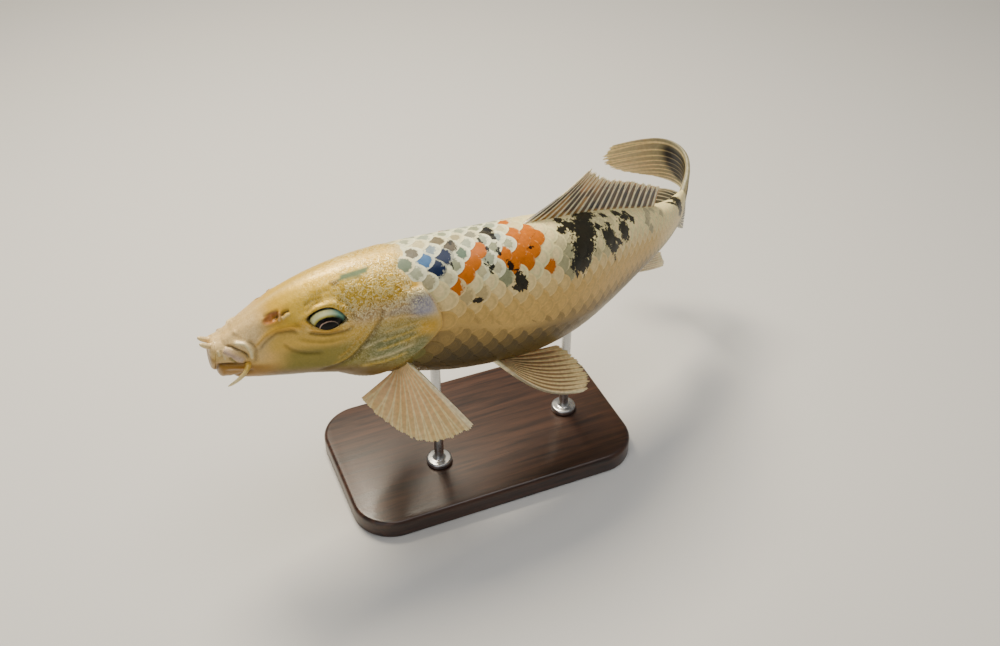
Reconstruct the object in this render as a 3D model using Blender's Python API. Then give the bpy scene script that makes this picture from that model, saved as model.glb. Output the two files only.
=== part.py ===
"""Koi carp: a still, life-size model of one fish, held on a plain display stand.

The body is one tapering form.  It is swept along a spine that runs straight through the
head and then bends toward the fish's right, and every piece of flesh is a length or a
patch of that form, so the pieces meet edge to edge with a thin cut between them.  The
fins are thin ribbed plates that grow from the body and follow the same bent spine.

Frame: metres, +Z up, origin at the centre of the underside of the stand's base.  The head
points along -X, the left flank faces -Y, and the tail swings toward +Y.

A place on the body is given by its station, which runs from 0 at the lips to 1 at the root
of the tail fin, and by its angle round the body: 0 at the back, 90 at the left flank, 180
at the belly and 270 at the right flank.  Body sizes are parts of the standard length.
"""

import math

import bmesh
import bpy
import numpy as np

# ---------------------------------------------------------------- driving sizes
STANDARD_LENGTH = 0.42      # lips to the root of the tail fin
CUT = 0.0004                # width of the cut between two pieces
SPINE_HEIGHT = 0.158        # spine above the floor at the station over the stand
STAND_STATION = 0.44        # station that lies over the centre of the stand
STAND_SIDE = 0.018          # how far the fish stands to the left of the base's centre
TAIL_DROP = 9.0             # degrees that the spine falls toward the tail
LEFT, RIGHT = 1.0, -1.0

# Turns of the spine in plan: first station, last station, degrees toward +Y.
BENDS = (
    (0.38, 0.68, 25.0),
    (0.80, 1.00, 17.0),
    (1.01, 1.16, 118.0),
)
# The tail fin levels out: first station, last station, degrees taken off the drop.
LEVELLING = (1.00, 1.08, 9.0)

# Station, height of the back, height of the belly, half width, height of the widest line.
FORM = (
    (0.000, -0.027, -0.064, 0.016, -0.037),
    (0.020, -0.016, -0.083, 0.028, -0.040),
    (0.050, 0.011, -0.089, 0.038, -0.040),
    (0.100, 0.050, -0.091, 0.048, -0.036),
    (0.150, 0.075, -0.092, 0.057, -0.030),
    (0.200, 0.092, -0.096, 0.066, -0.023),
    (0.250, 0.102, -0.104, 0.074, -0.015),
    (0.300, 0.109, -0.112, 0.079, -0.008),
    (0.400, 0.120, -0.123, 0.082, 0.000),
    (0.500, 0.127, -0.121, 0.079, 0.004),
    (0.600, 0.118, -0.110, 0.070, 0.004),
    (0.700, 0.097, -0.090, 0.057, 0.003),
    (0.800, 0.071, -0.064, 0.041, 0.002),
    (0.880, 0.051, -0.045, 0.028, 0.002),
    (0.940, 0.041, -0.037, 0.019, 0.001),
    (1.000, 0.036, -0.034, 0.012, 0.001),
)
ROUNDNESS = 2.25            # 2 is an ellipse, more is fuller at the quarters
SIDES = 26                  # sides of a length of the body

MOUTH_FRONT = 0.008         # where the blunt upper lip begins
CHIN_FRONT = 0.011          # where the lower lip begins, a little behind it
MOUTH_REAR = 0.058          # where the lips end and the head begins
MOUTH_ROOF = 0.50           # inside of the mouth, as a part of the outside
UPPER_LIP_ANGLE = 104.0     # the upper jaw reaches this far down each side
LOWER_LIP_ANGLE = 110.0     # the lower jaw starts here
LIP_SWELL = 0.06            # how far a lip stands proud, as a part of its distance from the middle
LIP_RUN = 0.022             # length of that swelling, as a part of the standard length
HEAD_REAR = 0.285           # where the head ends and the trunk begins
TRUNK_MIDDLE = 0.50
TRUNK_REAR = 0.775
BODY_REAR = 1.0

EYE_STATION = 0.163
EYE_ANGLE = 41.5
EYE_RADIUS = 0.012
EYE_SINK = 0.0087           # how far the eye's centre lies under the skin

# The four feelers: angle of the root, aim (back, outward, up), length and radius at the root.
FRONT_FEELER = (38.0, (-0.86, 0.0, 0.50), 0.0085, 0.0020)
REAR_FEELER = (100.0, (-0.78, 0.05, -0.62), 0.0185, 0.0015)
REAR_FEELER_STATION = 0.052
FEELER_INSET = 0.75         # place of a front feeler on the lip's blunt face, 1 at its rim
FEELER_BOW = 0.9            # how strongly a feeler leaves the skin before it turns to its aim
FEELER_TAPER = 0.5          # share of its radius that it loses by the tip

GILL_TOP = 36.0             # angles of the gill cover's upper and lower ends
GILL_BOTTOM = 156.0
GILL_FRONT = (0.252, 0.182)  # its front edge at the top and at the bottom
GILL_REAR = 0.335           # the furthest point of its free rear edge
GILL_REAR_AT = 0.33         # how far down the edge that point lies
GILL_BACK_OFF = (0.030, 0.115)  # how far the edge runs forward to its top and bottom
GILL_THIN = 0.0009          # thickness along its front edge
GILL_THICK = 0.0021         # thickness along its free rear edge

FIN_ROOT = 0.0018           # thickness of a fin at its root
FIN_TIP = 0.0006            # thickness of its web at the tip
RIB = 0.0005                # how much thicker the fin is on a ray
CAUDAL_ROOT = 0.0040

BASE_LENGTH = 0.22
BASE_WIDTH = 0.13
BASE_THICKNESS = 0.014
BASE_CORNER = 0.030
BASE_EDGE = 0.0015
BASE_CORNER_STEPS = 8
ROD_RADIUS = 0.0035
ROD_DEPTH = 0.007           # how far a rod goes up into the belly
COLLAR_RADIUS = 0.0095
COLLAR_HEIGHT = 0.004
COLLAR_TOP = (0.70, 0.86)   # where the collar starts to round off, and its radius at the top
ROD_STATIONS = (("front", 0.35), ("rear", 0.62))


# ---------------------------------------------------------------- clean start, materials
def clear_scene():
    for thing in list(bpy.data.objects):
        bpy.data.objects.remove(thing, do_unlink=True)


def finish(name, colour, roughness, metallic=0.0):
    """A Principled material with one colour."""
    material = bpy.data.materials.new(name)
    material.use_nodes = True
    shader = material.node_tree.nodes["Principled BSDF"]
    shader.inputs["Base Color"].default_value = (*colour, 1.0)
    shader.inputs["Roughness"].default_value = roughness
    shader.inputs["Metallic"].default_value = metallic
    return material


# ---------------------------------------------------------------- smooth curves
def smooth_curve(places, values):
    """A curve through the given values that adds no bumps between them."""
    x, y = np.array(places, float), np.array(values, float)
    step, slope = np.diff(x), np.diff(y) / np.diff(x)
    tangent = np.zeros(len(x))
    tangent[0], tangent[-1] = slope[0], slope[-1]
    for i in range(1, len(x) - 1):
        if slope[i - 1] * slope[i] > 0:
            before, after = 2 * step[i] + step[i - 1], step[i] + 2 * step[i - 1]
            tangent[i] = (before + after) / (before / slope[i - 1] + after / slope[i])

    def value(at):
        at = min(max(at, x[0]), x[-1])
        i = min(int(np.searchsorted(x, at, side="right")) - 1, len(x) - 2)
        t = (at - x[i]) / step[i]
        rise = y[i] + (y[i + 1] - y[i]) * t * t * (3 - 2 * t)
        lean = tangent[i] * t * (1 - t) ** 2 - tangent[i + 1] * t * t * (1 - t)
        return float(rise + step[i] * lean)

    return value


def ease(at, start, end):
    """0 before start, 1 after end, and a smooth rise between."""
    t = min(max((at - start) / (end - start), 0.0), 1.0)
    return t * t * (3 - 2 * t)


stations = [row[0] for row in FORM]
back_height = smooth_curve(stations, [row[1] for row in FORM])
belly_height = smooth_curve(stations, [row[2] for row in FORM])
half_width = smooth_curve(stations, [row[3] for row in FORM])
widest_height = smooth_curve(stations, [row[4] for row in FORM])


# ---------------------------------------------------------------- the bent spine
def spine_direction(station):
    """Unit vector along the spine, from head to tail."""
    turn = math.radians(sum(bend * ease(station, a, b) for a, b, bend in BENDS))
    start, end, levelled = LEVELLING
    drop = math.radians(TAIL_DROP - levelled * ease(station, start, end))
    flat = math.cos(drop)
    return np.array([math.cos(turn) * flat, math.sin(turn) * flat, -math.sin(drop)])


def trace_spine(steps=520, last=1.3):
    """Stations and points along the spine, placed over the stand."""
    along = np.linspace(0.0, last, steps + 1)
    ways = np.array([spine_direction(s) for s in along])
    gaps = np.diff(along)[:, None] * STANDARD_LENGTH
    points = np.vstack([np.zeros(3), np.cumsum((ways[1:] + ways[:-1]) / 2 * gaps, axis=0)])
    over_stand = [np.interp(STAND_STATION, along, points[:, k]) for k in range(3)]
    return along, points - over_stand + np.array([0.0, -STAND_SIDE, SPINE_HEIGHT])


SPINE_STATIONS, SPINE_POINTS = trace_spine()


def frame_at(station):
    """Point on the spine, and unit vectors back, up and left."""
    point = np.array([np.interp(station, SPINE_STATIONS, SPINE_POINTS[:, k]) for k in range(3)])
    back = spine_direction(station)
    up = np.array([0.0, 0.0, 1.0]) - back * back[2]
    up /= np.linalg.norm(up)
    return point, back, up, np.cross(back, up)


def place(station, height, side=0.0):
    """A point beside the spine: height up and side to the left, both as parts of length."""
    point, _, up, left = frame_at(station)
    return point + (up * height + left * side) * STANDARD_LENGTH


# ---------------------------------------------------------------- the body's surface
def section(station, angle):
    """Side and height of the body's outline at an angle, as parts of length."""
    turn = math.radians(angle)
    middle, wide = widest_height(station), half_width(station)
    tall = back_height(station) - middle if math.cos(turn) > 0 else middle - belly_height(station)
    power = abs(math.cos(turn) / tall) ** ROUNDNESS + abs(math.sin(turn) / wide) ** ROUNDNESS
    reach = power ** (-1 / ROUNDNESS)
    return reach * math.sin(turn), middle + reach * math.cos(turn)


def surface(station, angle, lift=0.0):
    """A point on the body, lifted off the skin by some metres."""
    side, height = section(station, angle)
    side_before, height_before = section(station, angle - 1.0)
    side_after, height_after = section(station, angle + 1.0)
    run, rise = side_after - side_before, height_after - height_before
    scale = lift / STANDARD_LENGTH / math.hypot(run, rise)
    return place(station, height + run * scale, side - rise * scale)


def outward(station, angle):
    """Unit vector straight out of the skin."""
    away = surface(station, angle, 0.001) - surface(station, angle)
    return away / np.linalg.norm(away)


# ---------------------------------------------------------------- mesh builders
def add_object(name, mesh_source, material, smooth_angle=40.0):
    """Make an object from a bmesh, with outward faces."""
    bmesh.ops.recalc_face_normals(mesh_source, faces=mesh_source.faces[:])
    mesh = bpy.data.meshes.new(name)
    mesh_source.to_mesh(mesh)
    mesh_source.free()
    mesh.shade_smooth()
    mesh.set_sharp_from_angle(angle=math.radians(smooth_angle))
    mesh.materials.append(material)
    thing = bpy.data.objects.new(name, mesh)
    bpy.context.collection.objects.link(thing)
    return thing


def loft(name, rings, material, smooth_angle=40.0):
    """Join rings of equal count into a closed skin with flat ends."""
    build = bmesh.new()
    loops = [[build.verts.new(point) for point in ring] for ring in rings]
    for lower, upper in zip(loops, loops[1:]):
        for i in range(len(lower)):
            j = (i + 1) % len(lower)
            build.faces.new((lower[i], lower[j], upper[j], upper[i]))
    build.faces.new(loops[0])
    build.faces.new(loops[-1])
    return add_object(name, build, material, smooth_angle)


def plate(name, left_side, right_side, material, smooth_angle=40.0):
    """Close two facing grids of points, row by row, into one thin plate."""
    build = bmesh.new()
    rows, columns = len(left_side), len(left_side[0])
    left_grid = [[build.verts.new(point) for point in row] for row in left_side]
    right_grid = [[build.verts.new(point) for point in row] for row in right_side]
    for i in range(rows - 1):
        for j in range(columns - 1):
            for grid in (left_grid, right_grid):
                build.faces.new((grid[i][j], grid[i][j + 1], grid[i + 1][j + 1], grid[i + 1][j]))
    rim = [(0, j) for j in range(columns)] + [(i, columns - 1) for i in range(1, rows)]
    rim += [(rows - 1, j) for j in range(columns - 2, -1, -1)] + [(i, 0) for i in range(rows - 2, 0, -1)]
    for (i, j), (k, m) in zip(rim, rim[1:] + rim[:1]):
        build.faces.new((left_grid[i][j], left_grid[k][m], right_grid[k][m], right_grid[i][j]))
    return add_object(name, build, material, smooth_angle)


def tube(name, path, radii, material, sides=6):
    """A tapering rod of flesh along a path."""
    rings = []
    for i, (centre, radius) in enumerate(zip(path, radii)):
        ahead, behind = path[min(i + 1, len(path) - 1)], path[max(i - 1, 0)]
        along = (ahead - behind) / np.linalg.norm(ahead - behind)
        across = np.cross(along, (0.31, 0.22, 0.93))
        across /= np.linalg.norm(across)
        third = np.cross(along, across)
        turns = [2 * math.pi * k / sides for k in range(sides)]
        rings.append([centre + radius * (math.cos(t) * across + math.sin(t) * third) for t in turns])
    return loft(name, rings, material)


def cut_away(thing, cutter):
    """Take the cutter's shape out of a piece."""
    cutter.hide_render = True
    cutter.display_type = "WIRE"
    cut = thing.modifiers.new("cut", "BOOLEAN")
    cut.operation = "DIFFERENCE"
    cut.solver = "EXACT"
    cut.object = cutter


# ---------------------------------------------------------------- body
def body_ring(station, lift=0.0, sides=SIDES):
    return [surface(station, 360.0 * k / sides, lift) for k in range(sides)]


def body_length(name, first, last, count, material):
    """One length of the body between two stations."""
    return loft(name, [body_ring(s) for s in np.linspace(first, last, count)], material)


def body_envelope(lift):
    """A cutter in the shape of the whole body, lifted a little, for trimming the fins."""
    rings = [body_ring(s, lift) for s in np.linspace(0.02, BODY_REAR, 50)]
    return loft("guide_body", rings, finish("guide", (0.5, 0.5, 0.5), 0.5))


def jaw(name, first_angle, last_angle, front, material, steps=13, rings=6):
    """Half of the mouth: an arch of lip and jaw between two angles."""
    rows = []
    for station in np.linspace(front, MOUTH_REAR, rings):
        middle = place(station, widest_height(station))
        lip = 1.0 + LIP_SWELL * math.sin(math.pi * ease(station, front, front + LIP_RUN))
        turns = np.linspace(first_angle, last_angle, steps)
        outer = [middle + (surface(station, a) - middle) * lip for a in turns]
        inner = [middle + (surface(station, a) - middle) * MOUTH_ROOF for a in turns[::-1]]
        rows.append(outer + inner)
    return loft(name, rows, material)


def barbel(name, start, out, side, feeler, material, steps=7):
    """A soft feeler that leaves the skin straight out and curves toward its aim."""
    _, (back, outside, up), length, radius = feeler
    aim = np.array([back, -side * outside, up])
    aim /= np.linalg.norm(aim)
    path, radii = [], []
    for t in np.linspace(0.0, 1.0, steps):
        path.append(start + length * (out * t * (1 - t) * FEELER_BOW + aim * t * (1 + 3 * t) / 4))
        radii.append(radius * (1.0 - FEELER_TAPER * t * t))
    return tube(name, path, radii, material)


def front_barbel(name, side, material):
    """A short, thick feeler on the blunt face of the upper lip."""
    middle = place(MOUTH_FRONT, widest_height(MOUTH_FRONT))
    forward = -spine_direction(MOUTH_FRONT)
    rim = surface(MOUTH_FRONT, side * FRONT_FEELER[0])
    start = middle + (rim - middle) * FEELER_INSET + forward * 2 * CUT
    return barbel(name, start, forward, side, FRONT_FEELER, material)


def rear_barbel(name, side, material):
    """A longer feeler at the corner of the mouth."""
    angle, radius = side * REAR_FEELER[0], REAR_FEELER[3]
    start = surface(REAR_FEELER_STATION, angle, radius * 0.6 + CUT)
    return barbel(name, start, outward(REAR_FEELER_STATION, angle), side, REAR_FEELER, material)


def gill_edges(t):
    """Stations of the gill cover's front and rear edges, from its top (0) to its bottom (1)."""
    front = GILL_FRONT[0] + (GILL_FRONT[1] - GILL_FRONT[0]) * t ** 0.8
    if t < GILL_REAR_AT:
        return front, GILL_REAR - GILL_BACK_OFF[0] * (1 - t / GILL_REAR_AT) ** 2
    return front, GILL_REAR - GILL_BACK_OFF[1] * ((t - GILL_REAR_AT) / (1 - GILL_REAR_AT)) ** 1.3


def gill_cover(name, side, material, rows=11, columns=6):
    """The bony plate over the gills, a shell that lies on the cheek and lifts at the rear."""
    inner, outer = [], []
    for t in np.linspace(0.0, 1.0, rows):
        angle = side * (GILL_TOP + (GILL_BOTTOM - GILL_TOP) * t)
        front, rear = gill_edges(t)
        under, over = [], []
        for u in np.linspace(0.0, 1.0, columns):
            station = front + (rear - front) * u
            swell = GILL_THIN + (GILL_THICK - GILL_THIN) * ease(u, 0.1, 0.85)
            under.append(surface(station, angle, CUT))
            over.append(surface(station, angle, CUT + swell))
        inner.append(under)
        outer.append(over)
    return plate(name, inner, outer, material)


def eye_centre(side):
    return surface(EYE_STATION, side * EYE_ANGLE, -EYE_SINK)


def ball(name, centre, radius, material, rings=9, sides=14):
    build = bmesh.new()
    bmesh.ops.create_uvsphere(build, u_segments=sides, v_segments=rings, radius=radius)
    bmesh.ops.translate(build, verts=build.verts[:], vec=centre)
    return add_object(name, build, material, 180.0)


# ---------------------------------------------------------------- fins
def ribbed_plate(name, sheet, rays, rows, material, root=FIN_ROOT, tip=FIN_TIP, rib=RIB):
    """A fin: a thin plate over sheet(across, along), thicker on each of its rays."""
    columns = 2 * rays + 1
    small = 1e-3
    left_side, right_side = [], []
    for along in np.linspace(0.0, 1.0, rows):
        left_row, right_row = [], []
        for k in range(columns):
            across = k / (columns - 1)
            middle = sheet(across, along)
            a0, a1 = max(across - small, 0.0), min(across + small, 1.0)
            b0, b1 = max(along - small, 0.0), min(along + small, 1.0)
            way = np.cross(sheet(a1, along) - sheet(a0, along), sheet(across, b1) - sheet(across, b0))
            way /= np.linalg.norm(way)
            web = root + (tip - root) * ease(along, 0.0, 0.8)
            half = 0.5 * (web + (rib if k % 2 else 0.0) * (1.0 - 0.6 * along))
            left_row.append(middle + way * half)
            right_row.append(middle - way * half)
        left_side.append(left_row)
        right_side.append(right_row)
    return plate(name, left_side, right_side, material, 25.0)


def median_sheet(root, tip):
    """A fin in the fish's own middle surface, from root(u) to tip(u) as (station, height)."""
    def sheet(across, along):
        (s0, h0), (s1, h1) = root(across), tip(across)
        return place(s0 + (s1 - s0) * along, h0 + (h1 - h0) * along)
    return sheet


def arc_through(first, middle, last):
    """A curve of three given points at 0, 1/2 and 1."""
    first, middle, last = (np.array(p, float) for p in (first, middle, last))
    pull = 2 * middle - (first + last) / 2

    def point(t):
        return first * (1 - t) ** 2 + pull * 2 * t * (1 - t) + last * t * t

    return point


DORSAL_FIRST, DORSAL_LAST = 0.482, 0.850
dorsal_rise = smooth_curve([0.0, 0.12, 0.35, 0.7, 1.0], [0.070, 0.065, 0.053, 0.046, 0.038])
dorsal_lean = smooth_curve([0.0, 0.2, 0.45, 0.7, 1.0], [0.150, 0.095, 0.045, 0.026, 0.014])


def dorsal_fin(material):
    """The long, low sail on the back, half folded."""
    def root(u):
        s = DORSAL_FIRST + (DORSAL_LAST - DORSAL_FIRST) * u
        return s, back_height(s) - MEDIAN_ROOT

    def tip(u):
        s = DORSAL_FIRST + (DORSAL_LAST - DORSAL_FIRST) * u
        lean = s + dorsal_lean(u)
        return lean, back_height(s) + (back_height(lean) - back_height(s)) * 0.4 + dorsal_rise(u)

    return ribbed_plate("dorsal_fin", median_sheet(root, tip), 19, 4, material)


ANAL_FIRST, ANAL_LAST = 0.785, 0.845
ANAL_SWEEP = (0.175, 0.085)   # how far the first and the last ray sweep back
ANAL_FALL = (0.042, 0.014)    # and how far they fall below the belly
MEDIAN_ROOT = 0.006           # how deep the roots of these fins start under the skin


def anal_fin(material):
    """The short fin under the tail, swept back."""
    def root(u):
        s = ANAL_FIRST + (ANAL_LAST - ANAL_FIRST) * u
        return s, belly_height(s) + MEDIAN_ROOT

    def tip(u):
        s = ANAL_FIRST + (ANAL_LAST - ANAL_FIRST) * u
        sweep = ANAL_SWEEP[0] + (ANAL_SWEEP[1] - ANAL_SWEEP[0]) * u
        return s + sweep, belly_height(s) - ANAL_FALL[0] + (ANAL_FALL[0] - ANAL_FALL[1]) * u

    return ribbed_plate("anal_fin", median_sheet(root, tip), 7, 4, material)


CAUDAL_ROOT_HALF = 0.033
CAUDAL_ARCH = 0.041         # how far the outermost ray bows away from a straight line
caudal_length = smooth_curve([0.0, 0.3, 0.6, 0.85, 1.0], [0.120, 0.190, 0.232, 0.246, 0.236])
caudal_spread = smooth_curve([0.0, 0.3, 0.6, 0.85, 1.0], [0.010, 0.020, 0.036, 0.058, 0.080])


def caudal_lobe(name, side, material):
    """One lobe of the forked tail fin: side is 1 for the upper lobe and -1 for the lower."""
    split = CUT / STANDARD_LENGTH
    start = BODY_REAR + split

    def sheet(across, along):
        root = split + (CAUDAL_ROOT_HALF - split) * across
        tip = split + caudal_spread(across)
        arch = CAUDAL_ARCH * across ** 1.3 * math.sin(math.pi * along ** 0.9)
        return place(start + caudal_length(across) * along, side * (root + (tip - root) * along + arch))

    return ribbed_plate(name, sheet, 9, 11, material, root=CAUDAL_ROOT)


def paired_fin(name, side, station, angle, root_run, tips, arch, rays, rows, material):
    """A fin of the chest or belly.

    The tips are (back, out, down) from the root at the first, middle and last ray, and the
    arch is (out, down): how far the first ray bows, fading toward the last.
    """
    _, back, up, left = frame_at(station)
    out = left * side
    curve = arc_through(*tips)

    def sheet(across, along):
        base = surface(station + root_run[0] * across, side * (angle + root_run[1] * across), -0.002)
        b, o, d = curve(across)
        bow = (1 - across) * math.sin(math.pi * along)
        return base + (back * b * along + out * (o * along + arch[0] * bow)
                       - up * (d * along + arch[1] * bow)) * STANDARD_LENGTH

    return ribbed_plate(name, sheet, rays, rows, material)


PECTORAL = dict(station=0.292, angle=126.0, root_run=(-0.010, 16.0), rays=11, rows=5, arch=(0.010, -0.004),
                tips=((0.080, 0.105, 0.060), (0.010, 0.080, 0.090), (-0.058, 0.005, 0.048)))
PELVIC = dict(station=0.448, angle=152.0, root_run=(0.012, 12.0), rays=8, rows=5, arch=(0.014, 0.022),
              tips=((0.160, 0.055, 0.060), (0.170, 0.024, 0.036), (0.130, -0.010, 0.004)))
PELVIC_FOLDED = dict(PELVIC, arch=(0.006, 0.004),
                     tips=((0.172, 0.028, 0.000), (0.168, 0.010, -0.002), (0.130, -0.006, -0.004)))


# ---------------------------------------------------------------- stand
def stand_base(material):
    """A flat slab with round corners and a softened upper edge."""
    corners = []
    for sx, sy, start in ((1, 1, 0), (-1, 1, 90), (-1, -1, 180), (1, -1, 270)):
        centre = (sx * (BASE_LENGTH / 2 - BASE_CORNER), sy * (BASE_WIDTH / 2 - BASE_CORNER))
        for k in range(BASE_CORNER_STEPS + 1):
            turn = math.radians(start + 90 * k / BASE_CORNER_STEPS)
            corners.append((centre[0] + BASE_CORNER * math.cos(turn), centre[1] + BASE_CORNER * math.sin(turn)))

    def outline(inset, height):
        scale_x, scale_y = 1 - 2 * inset / BASE_LENGTH, 1 - 2 * inset / BASE_WIDTH
        return [(x * scale_x, y * scale_y, height) for x, y in corners]

    rings = [outline(0.0, 0.0), outline(0.0, BASE_THICKNESS - BASE_EDGE), outline(BASE_EDGE, BASE_THICKNESS)]
    return loft("stand_base", rings, material)


def rod_foot(station):
    """Where a rod stands: straight under the spine at a station."""
    point, _, _, _ = frame_at(station)
    return point[0], point[1]


def belly_above(station):
    """Height of the belly over a rod's foot."""
    return surface(station, 180.0)[2]


def turned(name, x, y, profile, material, sides=16):
    """A round piece on an upright axis, from (radius, height) pairs."""
    turns = [2 * math.pi * k / sides for k in range(sides)]
    rings = [[(x + r * math.cos(t), y + r * math.sin(t), z) for t in turns] for r, z in profile]
    return loft(name, rings, material, 30.0)


def stand_rod(name, station, material):
    """A rod with a round collar at its foot, which ends in a hole in the belly."""
    x, y = rod_foot(station)
    floor = BASE_THICKNESS + CUT
    top = belly_above(station) + ROD_DEPTH
    rounding, narrowing = COLLAR_TOP
    profile = [(COLLAR_RADIUS, floor), (COLLAR_RADIUS, floor + COLLAR_HEIGHT * rounding),
               (COLLAR_RADIUS * narrowing, floor + COLLAR_HEIGHT), (ROD_RADIUS, floor + COLLAR_HEIGHT),
               (ROD_RADIUS, top)]
    return turned(name, x, y, profile, material)


def rod_hole(name, station, material):
    """The cutter for a rod's hole in the belly."""
    x, y = rod_foot(station)
    low = belly_above(station)
    radius = ROD_RADIUS + CUT
    return turned(name, x, y, [(radius, low - 0.02), (radius, low + ROD_DEPTH + CUT)], material)


# ---------------------------------------------------------------- the whole fish
def build_flesh(skin, cutter_material):
    head = body_length("head", MOUTH_REAR + CUT / STANDARD_LENGTH, HEAD_REAR, 14, skin)
    half_cut = CUT / STANDARD_LENGTH
    trunk_front = body_length("trunk_front", HEAD_REAR + half_cut, TRUNK_MIDDLE, 8, skin)
    trunk_rear = body_length("trunk_rear", TRUNK_MIDDLE + half_cut, TRUNK_REAR, 9, skin)
    body_length("tail_peduncle", TRUNK_REAR + half_cut, BODY_REAR, 9, skin)
    for name, side in (("left", LEFT), ("right", RIGHT)):
        socket = ball("guide_socket_" + name, eye_centre(side), EYE_RADIUS + CUT, cutter_material)
        cut_away(head, socket)
    for (name, station), trunk in zip(ROD_STATIONS, (trunk_front, trunk_rear)):
        cut_away(trunk, rod_hole("guide_hole_" + name, station, cutter_material))


def build_face(lip, horn, eye):
    jaw("upper_jaw", -UPPER_LIP_ANGLE, UPPER_LIP_ANGLE, MOUTH_FRONT, lip)
    jaw("lower_jaw", LOWER_LIP_ANGLE, 360.0 - LOWER_LIP_ANGLE, CHIN_FRONT, lip)
    for name, side in (("left", LEFT), ("right", RIGHT)):
        ball("eye_" + name, eye_centre(side), EYE_RADIUS, eye)
        front_barbel("barbel_front_" + name, side, lip)
        rear_barbel("barbel_rear_" + name, side, lip)
        gill_cover("gill_cover_" + name, side, horn)


def build_fins(fin, envelope):
    median = [dorsal_fin(fin), anal_fin(fin)]
    caudal_lobe("caudal_fin_upper", 1.0, fin)
    caudal_lobe("caudal_fin_lower", -1.0, fin)
    for name, side in (("left", LEFT), ("right", RIGHT)):
        median.append(paired_fin("pectoral_fin_" + name, side, material=fin, **PECTORAL))
        pelvic = PELVIC if side == LEFT else PELVIC_FOLDED
        median.append(paired_fin("pelvic_fin_" + name, side, material=fin, **pelvic))
    for thing in median:
        cut_away(thing, envelope)


def build_stand(wood, steel):
    stand_base(wood)
    for name, station in ROD_STATIONS:
        stand_rod("stand_rod_" + name, station, steel)


def main():
    clear_scene()
    skin = finish("scaled_skin", (0.74, 0.66, 0.52), 0.35)
    lip = finish("lip_skin", (0.70, 0.55, 0.36), 0.40)
    horn = finish("gill_bone", (0.72, 0.58, 0.30), 0.30, 0.3)
    eye = finish("eye_ball", (0.05, 0.05, 0.04), 0.08)
    fin = finish("fin_web", (0.78, 0.66, 0.50), 0.40)
    wood = finish("stained_wood", (0.05, 0.03, 0.02), 0.45)
    steel = finish("rod_steel", (0.55, 0.55, 0.55), 0.30, 1.0)
    build_flesh(skin, wood)
    build_face(lip, horn, eye)
    build_fins(fin, body_envelope(0.0003))
    build_stand(wood, steel)


main()
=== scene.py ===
"""Koi carp on a display stand: the finished looks of a still, life-size model.

One skin covers the head, the trunk and the tail.  Overlapping scales lie over the trunk as
solid mesh, the fins are thin ribbed webs, and the eyes are separate balls in their sockets.
The fish is held by two steel rods on a stained wood base.

A place on the body is given by its station, from 0 at the lips to 1 at the root of the tail
fin, and by its angle round the body: 0 at the back, 90 at the left flank and 180 at the
belly.  Angles below 0 are on the right side.  Body sizes are parts of the standard length.
"""

import logging
import math
from collections.abc import Callable, Sequence
from dataclasses import dataclass
from enum import Enum
from functools import partial

import bmesh
import bpy
import numpy as np
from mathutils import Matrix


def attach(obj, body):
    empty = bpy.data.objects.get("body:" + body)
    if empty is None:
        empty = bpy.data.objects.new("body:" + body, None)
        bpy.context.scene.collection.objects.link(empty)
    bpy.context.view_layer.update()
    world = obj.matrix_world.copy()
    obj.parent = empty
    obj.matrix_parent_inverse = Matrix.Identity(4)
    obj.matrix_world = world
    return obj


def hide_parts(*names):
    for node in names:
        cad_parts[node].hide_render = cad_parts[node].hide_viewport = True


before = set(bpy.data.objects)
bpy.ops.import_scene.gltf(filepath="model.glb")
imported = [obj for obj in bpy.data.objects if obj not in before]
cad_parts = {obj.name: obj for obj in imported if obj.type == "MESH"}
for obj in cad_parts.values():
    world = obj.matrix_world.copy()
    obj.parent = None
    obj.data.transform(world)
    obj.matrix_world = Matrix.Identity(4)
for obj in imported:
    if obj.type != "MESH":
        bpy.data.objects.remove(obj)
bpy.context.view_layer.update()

Array = np.ndarray
Pair = tuple[float, float]
Triple = tuple[float, float, float]
Pairs = tuple[Pair, ...]
Triples = tuple[Triple, ...]
Material = bpy.types.Material
Node = bpy.types.Node
Object = bpy.types.Object
Socket = bpy.types.NodeSocket
Tree = bpy.types.NodeTree
Adder = Callable[..., Socket]  # adds a node to its own tree
log = logging.getLogger("koi")
MM = 0.001
ROOT_BODY = "root"


# ---------------------------------------------------------------- small tools
def ease(at: Array | float, start: float, end: float) -> Array:
    """0 before start, 1 after end, and a smooth rise between."""
    t = np.clip((np.asarray(at, float) - start) / (end - start), 0.0, 1.0)
    return t * t * (3 - 2 * t)


def window(at: Array, first: float, last: float, fade: float) -> Array:
    """1 between first and last, fading to 0 over the given distance beyond them."""
    return ease(at, first - fade, first + fade) * (1 - ease(at, last - fade, last + fade))


def unit(way: Array) -> Array:
    """The vectors scaled to a length of one."""
    return way / np.maximum(np.linalg.norm(way, axis=-1, keepdims=True), 1e-12)


def blend(first: Array, second: Array, share: Array) -> Array:
    """Colours between two others, by the share of the second."""
    return first * (1 - share) + second * share


def linear(code: str) -> Array:
    """A colour from its sRGB hex code, as linear red, green and blue."""
    value = np.array([int(code[k:k + 2], 16) for k in (1, 3, 5)]) / 255.0
    return np.where(value <= 0.04045, value / 12.92, ((value + 0.055) / 1.055) ** 2.4)


def rgba(code: str) -> tuple[float, float, float, float]:
    """A hex colour for a colour socket."""
    return (*(float(v) for v in linear(code)), 1.0)


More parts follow.
